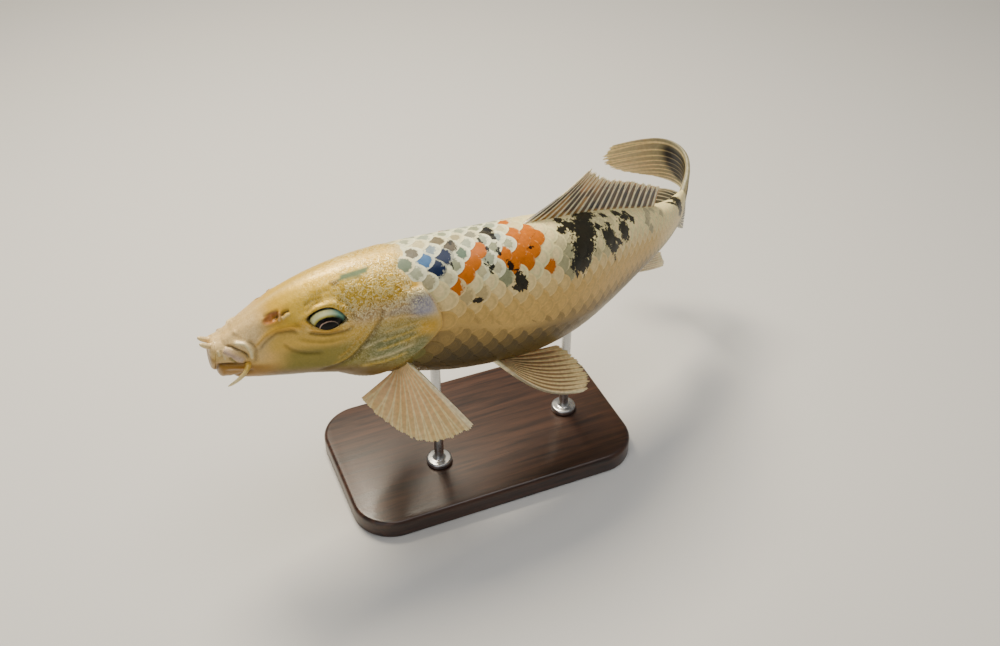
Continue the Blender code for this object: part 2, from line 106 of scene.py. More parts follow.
class SmoothCurve:
    """A curve through given values that adds no bumps between them."""

    def __init__(self, places: Sequence[float], values: Sequence[float]) -> None:
        """Fit the curve to values at rising places."""
        self.x, self.y = np.array(places, float), np.array(values, float)
        self.step = np.diff(self.x)
        slope = np.diff(self.y) / self.step
        self.tangent = np.zeros(len(self.x))
        self.tangent[0], self.tangent[-1] = slope[0], slope[-1]
        for i in range(1, len(self.x) - 1):
            if slope[i - 1] * slope[i] > 0:
                before = 2 * self.step[i] + self.step[i - 1]
                after = self.step[i] + 2 * self.step[i - 1]
                self.tangent[i] = (before + after) / (before / slope[i - 1] + after / slope[i])

    def __call__(self, at: Array | float) -> Array:
        """Values of the curve, held level beyond its ends."""
        at = np.clip(np.asarray(at, float), self.x[0], self.x[-1])
        i = np.clip(np.searchsorted(self.x, at, side="right") - 1, 0, len(self.x) - 2)
        t = (at - self.x[i]) / self.step[i]
        rise = self.y[i] + (self.y[i + 1] - self.y[i]) * t * t * (3 - 2 * t)
        lean = self.tangent[i] * t * (1 - t) ** 2 - self.tangent[i + 1] * t * t * (1 - t)
        return rise + self.step[i] * lean


def even_noise(place: Array, size: float, seed: int) -> Array:
    """A soft, repeatable noise between about -1 and 1 at points in metres.

    Args:
        place: Points, one to a row.
        size: Distance between neighbouring swells, in metres.
        seed: Chooses the directions of the swells.
    """
    draw = np.random.default_rng(seed)
    ways = unit(draw.normal(size=(9, 3))) * draw.uniform(0.6, 1.5, (9, 1)) * 2 * math.pi / size
    return np.sin(place @ ways.T + draw.uniform(0, 6.28, 9)).sum(-1) / 4.0


# ---------------------------------------------------------------- the body's form
@dataclass(frozen=True)
class BodyForm:
    """The fish's own shape: a tapering form swept along a bent spine."""

    length: float = 0.42  # from the lips to the root of the tail fin, in metres
    stand_station: float = 0.44  # station that stands over the middle of the base
    spine_height: float = 0.158  # height of the spine there, over the floor
    stand_side: float = 0.018  # how far to the fish's left of that middle it lies
    tail_drop: float = 9.0  # degrees that the body slopes down to the rear
    # First and last station of each bend to the right, and its degrees.
    bends: Triples = ((0.38, 0.68, 25.0), (0.80, 1.00, 17.0), (1.01, 1.16, 118.0))
    levelling: Triple = (1.00, 1.08, 9.0)  # where the slope fades, and its loss
    roundness: float = 2.25  # 2 is an oval section, more is squarer
    # Station, height of the back, height of the belly, half width, height of the widest line.
    form: tuple[tuple[float, ...], ...] = (
        (0.000, -0.027, -0.064, 0.016, -0.037),
        (0.020, -0.016, -0.083, 0.028, -0.040),
        (0.050, 0.011, -0.089, 0.038, -0.040),
        (0.100, 0.050, -0.091, 0.048, -0.036),
        (0.150, 0.075, -0.092, 0.057, -0.030),
        (0.200, 0.092, -0.096, 0.066, -0.023),
        (0.250, 0.102, -0.104, 0.074, -0.015),
        (0.300, 0.109, -0.112, 0.079, -0.008),
        (0.400, 0.120, -0.123, 0.082, 0.000),
        (0.500, 0.127, -0.121, 0.079, 0.004),
        (0.600, 0.118, -0.110, 0.070, 0.004),
        (0.700, 0.097, -0.090, 0.057, 0.003),
        (0.800, 0.071, -0.064, 0.041, 0.002),
        (0.880, 0.051, -0.045, 0.028, 0.002),
        (0.940, 0.041, -0.037, 0.019, 0.001),
        (1.000, 0.036, -0.034, 0.012, 0.001),
    )
    front: float = 0.008  # station where the blunt lips begin
    nose_depth: float = 0.004  # how far they round forward of it
    nose_span: float = 0.008  # stations ahead of it that the rounding takes up
    bluntness: float = 2.6  # 2 is a round nose, more is flatter in front
    tail_wedge: Pair = (0.985, 1.040)  # the flesh thins between these stations
    wedge_thin: float = 0.80  # the share of its width that it loses there
    spine_end: float = 1.3
    spine_steps: int = 520

    def __post_init__(self) -> None:
        """Prepare the curves and the spine."""
        rows = np.array(self.form)
        for name, column in (("back", 1), ("belly", 2), ("width", 3), ("middle", 4)):
            object.__setattr__(self, name, SmoothCurve(rows[:, 0], rows[:, column]))
        along = np.linspace(0.0, self.spine_end, self.spine_steps + 1)
        ways = self.direction(along)
        gaps = np.diff(along)[:, None] * self.length
        points = np.vstack([np.zeros(3), np.cumsum((ways[1:] + ways[:-1]) / 2 * gaps, axis=0)])
        over = np.array([np.interp(self.stand_station, along, points[:, k]) for k in range(3)])
        points = points - over + np.array([0.0, -self.stand_side, self.spine_height])
        object.__setattr__(self, "spine", (along, points))

    def direction(self, station: Array) -> Array:
        """Unit vectors along the spine, from head to tail."""
        turn = np.radians(sum(bend * ease(station, a, b) for a, b, bend in self.bends))
        start, end, levelled = self.levelling
        drop = np.radians(self.tail_drop - levelled * ease(station, start, end))
        return np.stack([np.cos(turn) * np.cos(drop), np.sin(turn) * np.cos(drop), -np.sin(drop)], -1)

    def axes(self, station: Array) -> tuple[Array, Array, Array, Array]:
        """Points on the spine, and unit vectors back, up and left."""
        along, points = self.spine
        point = np.stack([np.interp(station, along, points[:, k]) for k in range(3)], -1)
        back = self.direction(station)
        up = unit(np.array([0.0, 0.0, 1.0]) - back * back[..., 2:])
        return point, back, up, np.cross(back, up)

    def place(self, station: Array, height: Array, side: Array | float = 0.0) -> Array:
        """Points beside the spine: height up and side to the left, as parts of length."""
        point, _, up, left = self.axes(station)
        height, side = np.asarray(height, float)[..., None], np.asarray(side, float)[..., None]
        return point + (up * height + left * side) * self.length

    def section(self, station: Array, angle: Array) -> tuple[Array, Array]:
        """Side and height of the outline at an angle, as parts of length."""
        turn = np.radians(angle)
        middle = self.middle(station)
        wide = self.width(station) * (1 - self.wedge_thin * ease(station, *self.tail_wedge))
        tall = np.where(np.cos(turn) > 0, self.back(station) - middle, middle - self.belly(station))
        power = np.abs(np.cos(turn) / tall) ** self.roundness + np.abs(np.sin(turn) / wide) ** self.roundness
        reach = power ** (-1 / self.roundness)
        return reach * np.sin(turn), middle + reach * np.cos(turn)

    def shell(self, station: Array, angle: Array) -> Array:
        """Points on the body, with rounded lips ahead of the front station."""
        station, angle = np.broadcast_arrays(np.asarray(station, float), np.asarray(angle, float))
        ahead = np.clip((self.front - station) / self.nose_span, 0.0, 1.0)
        station = np.maximum(station, self.front)
        side, height = self.section(station, angle)
        middle = self.middle(station)
        shrink = (1 - ahead ** self.bluntness) ** (1 / self.bluntness)
        point, back, up, left = self.axes(station)
        rise, across = middle + (height - middle) * shrink, side * shrink
        forward = -self.nose_depth * ahead
        offset = up * rise[..., None] + left * across[..., None] + back * forward[..., None]
        return point + offset * self.length

    def outward(self, station: Array, angle: Array) -> Array:
        """Unit vectors straight out of the body."""
        station = np.asarray(station, float)
        round_way = self.shell(station, angle + 0.5) - self.shell(station, angle - 0.5)
        along_way = self.shell(station + 0.001, angle) - self.shell(station - 0.001, angle)
        return unit(np.cross(round_way, along_way))

    def lifted(self, station: Array, angle: Array, lift: Array | float) -> Array:
        """Points some metres off the body."""
        return self.shell(station, angle) + self.outward(station, angle) * np.asarray(lift)[..., None]


FORM = BodyForm()


# ---------------------------------------------------------------- markings
class Tint(Enum):
    """The fish's colours, as sRGB hex codes."""

    BACK_CREAM = "#FFE7A8"
    FLANK_TAN = "#DFB45E"
    # tan of the belly, darkened with painted shade
    BELLY_PEACH = "#5A450C"
    # olive of the shoulder, darkened with painted shade
    SHOULDER_OLIVE = "#302805"
    CROWN_GOLD = "#D2A02C"
    CROWN_BRIGHT = "#EAC040"
    CHEEK_GOLD = "#D6AE48"
    CHEEK_OLIVE = "#747022"
    # tan of the throat, darkened with painted shade
    THROAT_TAN = "#6A5016"
    SNOUT_PINK = "#E4C286"
    CHIN_AMBER = "#9A6C00"
    LIP_LILAC = "#C6A896"
    # pale colour of folds and feeler tips; on the folds it is partly painted highlight
    FOLD_WHITE = "#F2DFA8"
    NOSTRIL_ROSE = "#A05A24"
    # painted shade in the nostrils' hole and slit
    MOUTH_DARK = "#1E0F08"
    # painted shade in the eye's socket
    EYE_RIM = "#2E2610"
    RIM_YELLOW = "#D2A224"
    SHEEN_LILAC = "#A9A6B4"
    SLATE_PALE = "#83A097"
    SLATE_GREEN = "#4F6E5A"
    LEAF_GREEN = "#4C6440"
    NET_WHITE = "#FFF4CC"
    ORANGE = "#CC6C00"
    INDIGO = "#041C40"
    BLUE_GREY = "#3F6E9E"
    BLACK = "#030302"
    BROWN = "#3A2610"
    GREY_MARK = "#77796C"
    FIN_CREAM = "#F4DCA0"
    FIN_TAN = "#B0823C"
    FIN_PEACH = "#F4C684"
    FIN_GREY = "#A59C78"
    FIN_WHITE = "#FBEEC4"

    @property
    def rgb(self) -> Array:
        """The colour in linear light."""
        return linear(self.value)


@dataclass(frozen=True)
class Wash:
    """A soft area of colour on both sides of the body."""

    tint: Tint
    stations: Pair
    angles: Pair
    strength: float = 1.0
    fade: float = 0.02  # in stations
    angle_fade: float = 10.0  # in degrees

    def weight(self, station: Array, angle: Array) -> Array:
        """How strongly the wash covers each place."""
        along = window(station, *self.stations, self.fade)
        return self.strength * along * window(np.abs(angle), *self.angles, self.angle_fade)


@dataclass(frozen=True)
class Mark:
    """A patch of colour with an oval outline on one side of the body."""

    tint: Tint
    station: float
    angle: float
    long: float  # half its length along the body, in mm
    tall: float  # half its height round the body, in mm
    lean: float = 0.0  # degrees that its rear end turns toward the belly
    strength: float = 1.0
    spread: float = 1.0  # how far it fills each scale that it takes

    def offset(self, station: Array, angle: Array) -> tuple[Array, Array]:
        """Distances in mm from the middle of the mark, along it and across it."""
        side, height = FORM.section(np.full_like(station, self.station), np.full_like(station, self.angle))
        radius = np.hypot(side, height - FORM.middle(self.station)) * FORM.length / MM
        x = (station - self.station) * FORM.length / MM
        y = np.radians((angle - self.angle + 180) % 360 - 180) * radius
        turn = math.radians(self.lean)
        return x * math.cos(turn) + y * math.sin(turn), y * math.cos(turn) - x * math.sin(turn)

    def reach(self, station: Array, angle: Array) -> Array:
        """Distance from the middle of the mark, where 1 is its outline."""
        along, across = self.offset(station, angle)
        return np.hypot(along / self.long, across / self.tall)


ONE_SCALE = 3.4  # half size in mm of a mark that takes a single scale
# Leaf-shaped grey-green mark on the crown, on smooth skin behind the brown tip.
LEAF = Mark(Tint.LEAF_GREEN, 0.206, 13.5, 10.0, 2.9, lean=-2, strength=0.95)


@dataclass(frozen=True)
class Markings:
    """The ground colours and the patches that skin and scales share."""

    ground: tuple[Wash, ...] = (
        Wash(Tint.FLANK_TAN, (-1.0, 2.0), (56, 200), fade=0.05, angle_fade=20),
        # painted shade on the lower flank and belly, over their own tan
        Wash(Tint.BELLY_PEACH, (-1.0, 2.0), (112, 200), 0.9, fade=0.05, angle_fade=24),
        # painted shade behind the chest fins and on the lower flank, over its olive tone
        Wash(Tint.SHOULDER_OLIVE, (0.32, 0.40), (84, 150), 0.80, fade=0.07, angle_fade=26),
        Wash(Tint.SHOULDER_OLIVE, (0.36, 0.56), (108, 160), 0.55, fade=0.06, angle_fade=18),
        Wash(Tint.BACK_CREAM, (0.84, 2.0), (0, 130), 0.75, fade=0.06, angle_fade=20),
        Wash(Tint.CROWN_GOLD, (-1.0, 0.275), (0, 50), fade=0.015),
        Wash(Tint.CROWN_BRIGHT, (0.085, 0.285), (0, 38), 0.80, fade=0.035, angle_fade=9),
        Wash(Tint.CHEEK_GOLD, (0.07, 0.30), (46, 74), 0.9, fade=0.015, angle_fade=9),
        Wash(Tint.CHEEK_OLIVE, (0.10, 0.315), (74, 122), 0.85, fade=0.02, angle_fade=12),
        Wash(Tint.SLATE_GREEN, (0.225, 0.318), (60, 108), 0.50, fade=0.018, angle_fade=9),
        # painted shade under the head, over the throat's own tan
        Wash(Tint.THROAT_TAN, (-1.0, 0.27), (122, 200), 0.9, fade=0.02, angle_fade=9),
        Wash(Tint.LIP_LILAC, (0.200, 0.245), (42, 56), 0.50, fade=0.018, angle_fade=6),
        Wash(Tint.SNOUT_PINK, (-1.0, 0.075), (0, 92), 0.9, fade=0.018, angle_fade=14),
        Wash(Tint.CHEEK_GOLD, (-1.0, 0.070), (66, 100), 0.40, fade=0.015, angle_fade=10),
        Wash(Tint.CHIN_AMBER, (-1.0, 0.085), (101, 200), 0.95, fade=0.025, angle_fade=7),
        Wash(Tint.NOSTRIL_ROSE, (0.080, 0.106), (18, 34), 0.35, fade=0.010, angle_fade=5),
        Wash(Tint.RIM_YELLOW, (0.264, 0.300), (29, 38), 0.95, fade=0.006, angle_fade=3),
        Wash(Tint.RIM_YELLOW, (0.296, 0.326), (66, 82), 0.9, fade=0.010, angle_fade=6),
        Wash(Tint.RIM_YELLOW, (0.276, 0.298), (82, 94), 0.30, fade=0.012, angle_fade=7),
        Wash(Tint.SHEEN_LILAC, (0.284, 0.322), (42, 60), 0.95, fade=0.012, angle_fade=4),
        Wash(Tint.SHEEN_LILAC, (0.248, 0.286), (44, 56), 0.50, fade=0.012, angle_fade=5),
    )
    net_zone: Wash = Wash(Tint.SLATE_PALE, (0.28, 0.47), (0, 34), 1.0, fade=0.03, angle_fade=7)
    marks: tuple[Mark, ...] = (
        # Orange scales on the back: a ring with a pale gap in it, a slanting row before it, three lone ones.
        *(Mark(Tint.ORANGE, station, angle, ONE_SCALE, ONE_SCALE) for station, angle in (
            (0.464, 8), (0.477, 16.5), (0.490, 8), (0.502, 16.5), (0.490, 24), (0.464, 24), (0.477, 33),
            (0.452, 33), (0.439, 24), (0.401, 16.5), (0.388, 24), (0.375, 33))),
        *(Mark(Tint.ORANGE, station, angle, ONE_SCALE, ONE_SCALE, spread=0.35) for station, angle in (
            (0.515, 41), (0.361, 41), (0.464, -8))),
        # Indigo, blue-grey, brown, grey-green and black scales on the nape.
        *(Mark(tint, station, angle, ONE_SCALE, ONE_SCALE, strength=strength, spread=spread)
          for tint, station, angle, strength, spread in (
              (Tint.INDIGO, 0.347, 16.5, 1.0, 0.6), (Tint.INDIGO, 0.331, 24, 1.0, 0.6),
              (Tint.BLUE_GREY, 0.316, 16.5, 1.0, 0.4), (Tint.BROWN, 0.301, 8, 0.8, 0.0),
              (Tint.BLUE_GREY, 0.331, 8, 0.5, 0.2), (Tint.BROWN, 0.361, 8, 0.9, 0.3),
              (Tint.BROWN, 0.347, 0, 0.8, 0.1), (Tint.BLACK, 0.426, 0, 0.95, 0.5),
              (Tint.GREY_MARK, 0.401, 0, 0.8, 0.2), (Tint.SLATE_GREEN, 0.286, 16.5, 0.8, 0.0),
              (Tint.BROWN, 0.316, 33, 0.35, 0.0), (Tint.BROWN, 0.375, 0, 0.4, 0.0),
              (Tint.SLATE_GREEN, 0.375, 16.5, 0.8, 0.0), (Tint.BLUE_GREY, 0.439, 8, 0.3, 0.0),
              (Tint.SLATE_GREEN, 0.439, 42, 0.75, 0.9))),
        *(Mark(tint, station, angle, long, tall, strength=strength)
          for tint, station, angle, long, tall, strength in (
              (Tint.BROWN, 0.390, 55, 8.0, 4.0, 0.40),
              # Grey-green scales round the big broken black patch under the sail fin.
              (Tint.SLATE_GREEN, 0.553, 42, 8.0, 9.0, 0.60), (Tint.SLATE_GREEN, 0.560, 22, 9.0, 9.0, 0.35),
              (Tint.SLATE_GREEN, 0.625, 44, 20.0, 6.0, 0.40), (Tint.SLATE_GREEN, 0.650, 16, 12.0, 9.0, 0.30),
              (Tint.SLATE_GREEN, 0.570, -36, 12.0, 9.0, 0.6),
              # Grey scales behind it.
              (Tint.GREY_MARK, 0.805, 16, 5.0, 4.0, 0.55), (Tint.GREY_MARK, 0.830, 14, 3.5, 3.0, 0.5),
              (Tint.GREY_MARK, 0.855, 18, 4.0, 3.0, 0.5), (Tint.GREY_MARK, 0.798, 36, 4.5, 6.5, 0.65),
              # The far side, kept sparse.
              (Tint.ORANGE, 0.360, -34, 11.0, 9.0, 1.0), (Tint.ORANGE, 0.500, -48, 10.0, 8.0, 1.0))),
        Mark(Tint.BROWN, 0.180, 15.0, 4.5, 1.8, lean=-6, strength=0.75), LEAF)
    # Ragged black patches, whose edges cut across the scales.
    ragged: tuple[Mark, ...] = tuple(Mark(Tint.BLACK, *place) for place in (
        # Slivers and ticks on the shoulder.
        (0.430, -2, 2.2, 4.2), (0.431, 7, 1.6, 4.8, -8), (0.408, 7, 1.2, 3.4, 10), (0.415, 18, 1.1, 4.0),
        (0.430, 20, 1.3, 3.8), (0.405, 27, 1.0, 2.8, 10), (0.415, 33, 1.4, 3.6, 8), (0.355, 25, 1.2, 3.6, -8),
        (0.363, 4, 1.5, 4.0, 20), (0.391, 57, 4.2, 1.5, 6), (0.456, 44, 2.4, 4.8, 8),
        (0.465, 50, 2.0, 4.6, -6), (0.453, 53, 3.4, 1.6, 30), (0.444, 33, 1.6, 3.6, -20),
        (0.459, 50, 2.0, 2.0), (0.482, 23, 1.9, 1.4), (0.560, 57, 0.9, 2.6), (0.575, 57, 0.9, 3.0),
        # The black patch under the sail fin, in broken pieces.
        (0.618, 6, 10.5, 5.0), (0.594, 20, 11.0, 9.5), (0.580, 34, 9.5, 8.5), (0.570, 45, 8.0, 6.0),
        (0.652, 34, 7.0, 6.5), (0.702, 31, 6.0, 7.0), (0.660, 45, 5.5, 3.6), (0.705, 9, 4.0, 3.5),
        (0.722, 16, 5.0, 3.0), (0.740, 20, 3.0, 3.5), (0.735, 10, 3.0, 2.0), (0.556, 5, 4.0, 2.5),
        (0.566, 12, 4.0, 3.5), (0.548, 15, 3.5, 3.0), (0.630, 20, 3.0, 2.0), (0.640, 27, 2.5, 2.0),
        (0.665, 10, 3.0, 2.5), (0.660, 20, 3.0, 2.0), (0.660, 59, 1.2, 2.5), (0.675, 40, 5.0, 2.0, 30),
        (0.585, -16, 11.0, 6.0), (0.612, -26, 9.0, 8.0), (0.648, -14, 7.0, 4.0), (0.646, -40, 10.0, 7.0),
        (0.560, -30, 4.0, 3.0), (0.676, -30, 4.0, 5.0),
        # The broken bar across the root of the tail.
        (0.943, -6, 4.6, 3.6), (0.945, 10, 5.4, 3.8), (0.948, 26, 5.6, 4.4), (0.951, 42, 5.2, 4.4),
        (0.955, 56, 4.0, 3.8), (0.922, 12, 5.0, 1.5, 30), (0.912, 4, 3.0, 1.2, 20), (0.948, -30, 3.6, 7.0),
        # The far side, kept sparse.
        (0.420, -58, 8.0, 7.0), (0.760, -46, 12.0, 8.0)))
    edge_size: float = 0.011  # distance in metres between the swells of a patch's edge
    edge_swell: float = 0.16  # their height, as a part of the patch's size
    far: float = 3.0  # what soot says away from every ragged patch

    def ground_colour(self, station: Array, angle: Array) -> Array:
        """Colours of the ground, without the patches."""
        colour = np.broadcast_to(Tint.BACK_CREAM.rgb, (*station.shape, 3)).copy()
        for wash in self.ground:
            colour = blend(colour, wash.tint.rgb, wash.weight(station, angle)[..., None])
        return colour

    def patch(self, colour: Array, station: Array, angle: Array, place: Array,
              soft: float) -> tuple[Array, Array]:
        """Lay the patches over a ground colour.

        Args:
            colour: Ground colours.
            station: Station of each place.
            angle: Angle of each place.
            place: Position of each place in metres, for the ragged edge.
            soft: How softly a patch ends, as a part of its size.

        Returns:
            The colours, and how far a patch fills each place.
        """
        covered = np.zeros(station.shape)
        swell = self.edge_swell * even_noise(place, self.edge_size, 5)
        for mark in self.marks:
            widest = (mark.long + mark.tall) * 1.4 * MM
            near = np.nonzero(np.abs(station - mark.station) * FORM.length < widest)
            reach = mark.reach(station[near], angle[near]) + swell[near]
            weight = mark.strength * (1 - ease(reach, 1 - soft, 1 + soft))
            colour[near] = blend(colour[near], mark.tint.rgb, weight[..., None])
            covered[near] = np.maximum(covered[near], weight * mark.spread)
        return colour, covered

    def soot(self, station: Array, angle: Array) -> Array:
        """How near each place is to a ragged black patch, where 1 is its outline."""
        found = np.full(station.shape, self.far)
        for mark in self.ragged:
            found = np.minimum(found, mark.reach(station, angle))
        return found


MARKINGS = Markings()


# ---------------------------------------------------------------- relief of the head
@dataclass(frozen=True)
class Crease:
    """A fold or groove that runs along the skin, on both sides of the head alike."""

    path: Pairs  # stations and angles of the left-hand one
    rise: float  # height at its middle in mm, below 0 for a groove
    width: float  # half width in mm
    tint: Tint | None = None  # colour that it carries, if it has one; dark ones in grooves are painted shade, pale ones on folds partly painted highlight
    cover: float = 0.8  # strength of that colour
    open_ends: bool = False  # True where it runs on over the midline at full height

    def shape(self, points: Array) -> Array:
        """How much of the crease reaches each point, from 0 to 1."""
        steps, along = np.arange(len(self.path)), np.linspace(0, len(self.path) - 1, 90)
        line = FORM.shell(*(SmoothCurve(steps, values)(along) for values in zip(*self.path)))
        gaps = np.linalg.norm(points[:, None] - line[None], axis=-1)
        nearest = gaps.argmin(1)
        shape = np.exp(-(gaps[np.arange(len(points)), nearest] / (self.width * MM)) ** 2)
        if self.open_ends:
            return shape
        share = nearest / (len(line) - 1)
        return shape * ease(share, 0.0, 0.16) * (1 - ease(share, 0.84, 1.0))


@dataclass(frozen=True)
class HeadRelief:
    """Lips, nostrils, lids, cheek lines and gill covers, as heights over the body's form."""

    coat_depth: float = 0.75  # how far the skin lies under the scales, in mm
    # The dark tints in grooves below are painted shade; the white and bright gold tints on raised folds are
    # partly painted highlight.
    creases: tuple[Crease, ...] = (
        # Mouth: the slit, which runs low across the front, with its brown as painted shade, and the lips
        # above and below it.
        Crease(((0.012, 180), (0.011, 160), (0.0105, 140), (0.011, 126), (0.014, 113), (0.021, 104.5),
                (0.031, 100), (0.041, 97), (0.052, 96)), -1.2, 0.75, Tint.BROWN, 0.75, open_ends=True),
        Crease(((0.002, 180), (0.003, 150), (0.005, 122), (0.010, 106), (0.016, 98), (0.025, 92.5),
                (0.035, 91.5), (0.044, 91)), 0.7, 1.6, Tint.SNOUT_PINK, 0.5, open_ends=True),
        Crease(((0.020, 180), (0.020, 150), (0.020, 128), (0.026, 116), (0.036, 111), (0.050, 108)), 1.2, 2.2,
               Tint.CHIN_AMBER, 0.6, open_ends=True),
        # The dome of the muzzle between the slit and the lip's rim.
        Crease(((0.0006, 60), (0.0003, 90), (0.0006, 120)), 1.5, 6.5, open_ends=True),
        # The lilac roll of the upper lip, the dark line over it in painted shade and the pale fold behind it,
        # partly painted highlight.
        Crease(((0.018, 56), (0.023, 65), (0.031, 76), (0.040, 83), (0.050, 87)), 1.4, 2.3,
               Tint.LIP_LILAC, 0.85),
        Crease(((0.020, 46), (0.027, 50), (0.036, 60), (0.045, 68), (0.050, 76), (0.052, 86)), -1.3, 0.85,
               Tint.BROWN, 0.7),
        Crease(((0.026, 78), (0.030, 87), (0.037, 96)), -0.8, 0.9, Tint.CHEEK_OLIVE, 0.7),
        Crease(((0.030, 43), (0.039, 47), (0.047, 50), (0.053, 60), (0.0565, 73), (0.0570, 88)), 1.7, 1.3,
               Tint.FOLD_WHITE, 1.0),
        Crease(((0.050, 44), (0.058, 53), (0.063, 66), (0.063, 82), (0.059, 98)), -1.0, 1.1,
               Tint.BROWN, 0.45),
        # Small folds and pale streaks on the muzzle: the streaks are painted highlight on the folds, the
        # brown lines painted shade.
        Crease(((0.012, 60), (0.0135, 84)), 0.5, 0.8, Tint.FOLD_WHITE, 0.7),
        Crease(((0.018, 68), (0.021, 90)), 0.5, 0.9, Tint.FOLD_WHITE, 0.6),
        Crease(((0.015, 58), (0.0165, 84)), -0.4, 0.6, Tint.BROWN, 0.2),
        Crease(((0.030, 0), (0.033, 22), (0.040, 38)), -0.35, 1.8, open_ends=True),
        Crease(((0.034, 180), (0.036, 150), (0.046, 132), (0.056, 118)), -0.9, 1.6, Tint.BROWN, 0.35,
               open_ends=True),
        Crease(((0.018, 30), (0.030, 24), (0.040, 18)), 0.8, 2.2),
        # Fold between snout and cheek, with a painted highlight above and painted shade below.
        Crease(((0.058, 66), (0.069, 49), (0.080, 41), (0.091, 38), (0.110, 39), (0.128, 46)), 0.9, 1.3,
               Tint.CROWN_GOLD, 0.8),
        Crease(((0.064, 74), (0.074, 56), (0.085, 47.5), (0.095, 44), (0.112, 45), (0.126, 51)), -0.8, 1.2,
               Tint.BROWN, 0.5),
        # Brow, lids and the grooves round the eye: the grooves' brown is painted shade, the lids' gold partly
        # painted highlight.
        Crease(((0.130, 35), (0.146, 29.5), (0.166, 29), (0.184, 34), (0.195, 41)), 1.3, 2.0),
        Crease(((0.132, 31), (0.146, 26.5), (0.160, 25)), -0.6, 0.8, Tint.BROWN, 0.55),
        Crease(((0.130, 25), (0.143, 23), (0.160, 22)), -0.5, 0.9, Tint.BROWN, 0.5),
        Crease(((0.140, 20), (0.152, 19), (0.172, 19)), -0.4, 0.9, Tint.BROWN, 0.35),
        Crease(((0.176, 28), (0.192, 34), (0.201, 42), (0.203, 50)), -0.9, 1.9, Tint.BROWN, 0.35),
        Crease(((0.134, 45), (0.147, 50), (0.166, 54.5), (0.186, 54)), 1.0, 1.3, Tint.CROWN_GOLD, 0.95),
        Crease(((0.132, 50), (0.149, 56), (0.170, 60), (0.190, 60), (0.204, 54)), -0.8, 1.1, Tint.BROWN, 0.6),
        Crease(((0.118, 58), (0.140, 68), (0.168, 73), (0.196, 70)), 0.6, 1.8, Tint.CHEEK_GOLD, 0.5),
        # Lines of the cheek: brown in the grooves as painted shade, pale and gold ridges partly painted
        # highlight.
        Crease(((0.100, 58), (0.112, 72), (0.135, 84), (0.165, 88)), -0.5, 1.4, Tint.BROWN, 0.3),
        Crease(((0.246, 42), (0.243, 52), (0.234, 66), (0.220, 84), (0.203, 104), (0.176, 120), (0.150, 128)),
               -1.2, 1.5, Tint.BROWN, 0.5),
        Crease(((0.236, 48), (0.226, 64), (0.211, 82), (0.194, 101), (0.168, 116)), 0.8, 1.3,
               Tint.RIM_YELLOW, 0.35),
        Crease(((0.222, 56), (0.210, 72), (0.196, 88), (0.178, 104)), 0.5, 1.1, Tint.CROWN_GOLD, 0.4),
        Crease(((0.222, 116), (0.245, 118), (0.275, 112)), -0.5, 1.2, Tint.BROWN, 0.25),
        Crease(((0.246, 50), (0.262, 47), (0.285, 46)), 0.45, 1.0, Tint.CROWN_GOLD, 0.5),
        Crease(((0.247, 56), (0.272, 56), (0.300, 60)), 0.45, 1.0, Tint.CROWN_GOLD, 0.4),
        Crease(((0.242, 72), (0.272, 68), (0.310, 64)), 0.40, 1.0, Tint.CHEEK_GOLD, 0.4),
        Crease(((0.240, 84), (0.272, 78), (0.312, 70)), 0.40, 1.0, Tint.CROWN_BRIGHT, 0.4),
        Crease(((0.234, 97), (0.268, 89), (0.306, 79)), 0.45, 1.0, Tint.CROWN_BRIGHT, 0.5),
        Crease(((0.222, 111), (0.260, 102), (0.298, 90)), 0.60, 1.1, Tint.FOLD_WHITE, 0.55),
        Crease(((0.214, 121), (0.250, 113), (0.288, 101)), 0.50, 1.0, Tint.CROWN_BRIGHT, 0.6),
        Crease(((0.215, 92), (0.232, 84), (0.252, 78)), 0.35, 0.9, Tint.FOLD_WHITE, 0.4),
        # Throat: the rays of the gill membrane, and the seam where the two sides meet.
        Crease(((0.120, 140), (0.160, 146), (0.210, 150)), -0.5, 1.5),
        Crease(((0.105, 152), (0.150, 159), (0.200, 161)), -0.5, 1.5),
        Crease(((0.075, 180), (0.110, 171), (0.160, 172), (0.215, 180)), -0.8, 1.6, open_ends=True),
        # Crown: the step where the scales of the nape begin, and a low seam each side.
        Crease(((0.286, 0), (0.276, 12), (0.270, 24), (0.282, 36)), -0.5, 2.0, open_ends=True),
        Crease(((0.060, 14), (0.120, 11), (0.200, 12), (0.255, 16)), -0.3, 2.6),
        # Nostrils: a groove in painted shade along the lip over the front one, the flap between the two, and
        # the rear one's slit in painted shade with a pale ridge behind it.
        Crease(((0.073, 18.5), (0.082, 19), (0.091, 20.5), (0.098, 21)), -0.7, 0.8, Tint.BROWN, 0.7),
        Crease(((0.0965, 22), (0.0975, 26), (0.0955, 31)), 1.3, 0.9, Tint.SNOUT_PINK, 0.9),
        Crease(((0.099, 27), (0.105, 24.5), (0.112, 24)), -1.6, 0.75, Tint.MOUTH_DARK, 0.8),
        Crease(((0.100, 30), (0.106, 28), (0.113, 27)), 0.6, 0.8, Tint.FOLD_WHITE, 0.5),
    )
    foremost: float = 0.225  # no scaly skin lies ahead of this station
    nape_edge: float = 0.284  # station where the nape's scales begin
    nape_bay: float = 0.012  # how much farther forward they reach on each side of the back
    nostril: Pair = (0.0865, 25.0)  # station and angle
    nostril_size: Pair = (5.2, 2.9)  # half length and half height in mm
    nostril_hole: Pair = (0.0925, 26.0)
    hole_size: Pair = (1.7, 1.2)
    eye_opening: Pair = (0.1630, 41.5)
    eye_lean: float = 15.0  # degrees that the rear of the opening turns down
    eye_size: Pair = (12.8, 5.5)
    socket_depth: Pair = (7.5, 2.6)  # at its middle and at its corners, in mm
    gill_top: float = 36.0  # angles of the gill cover's upper and lower ends
    gill_bottom: float = 156.0
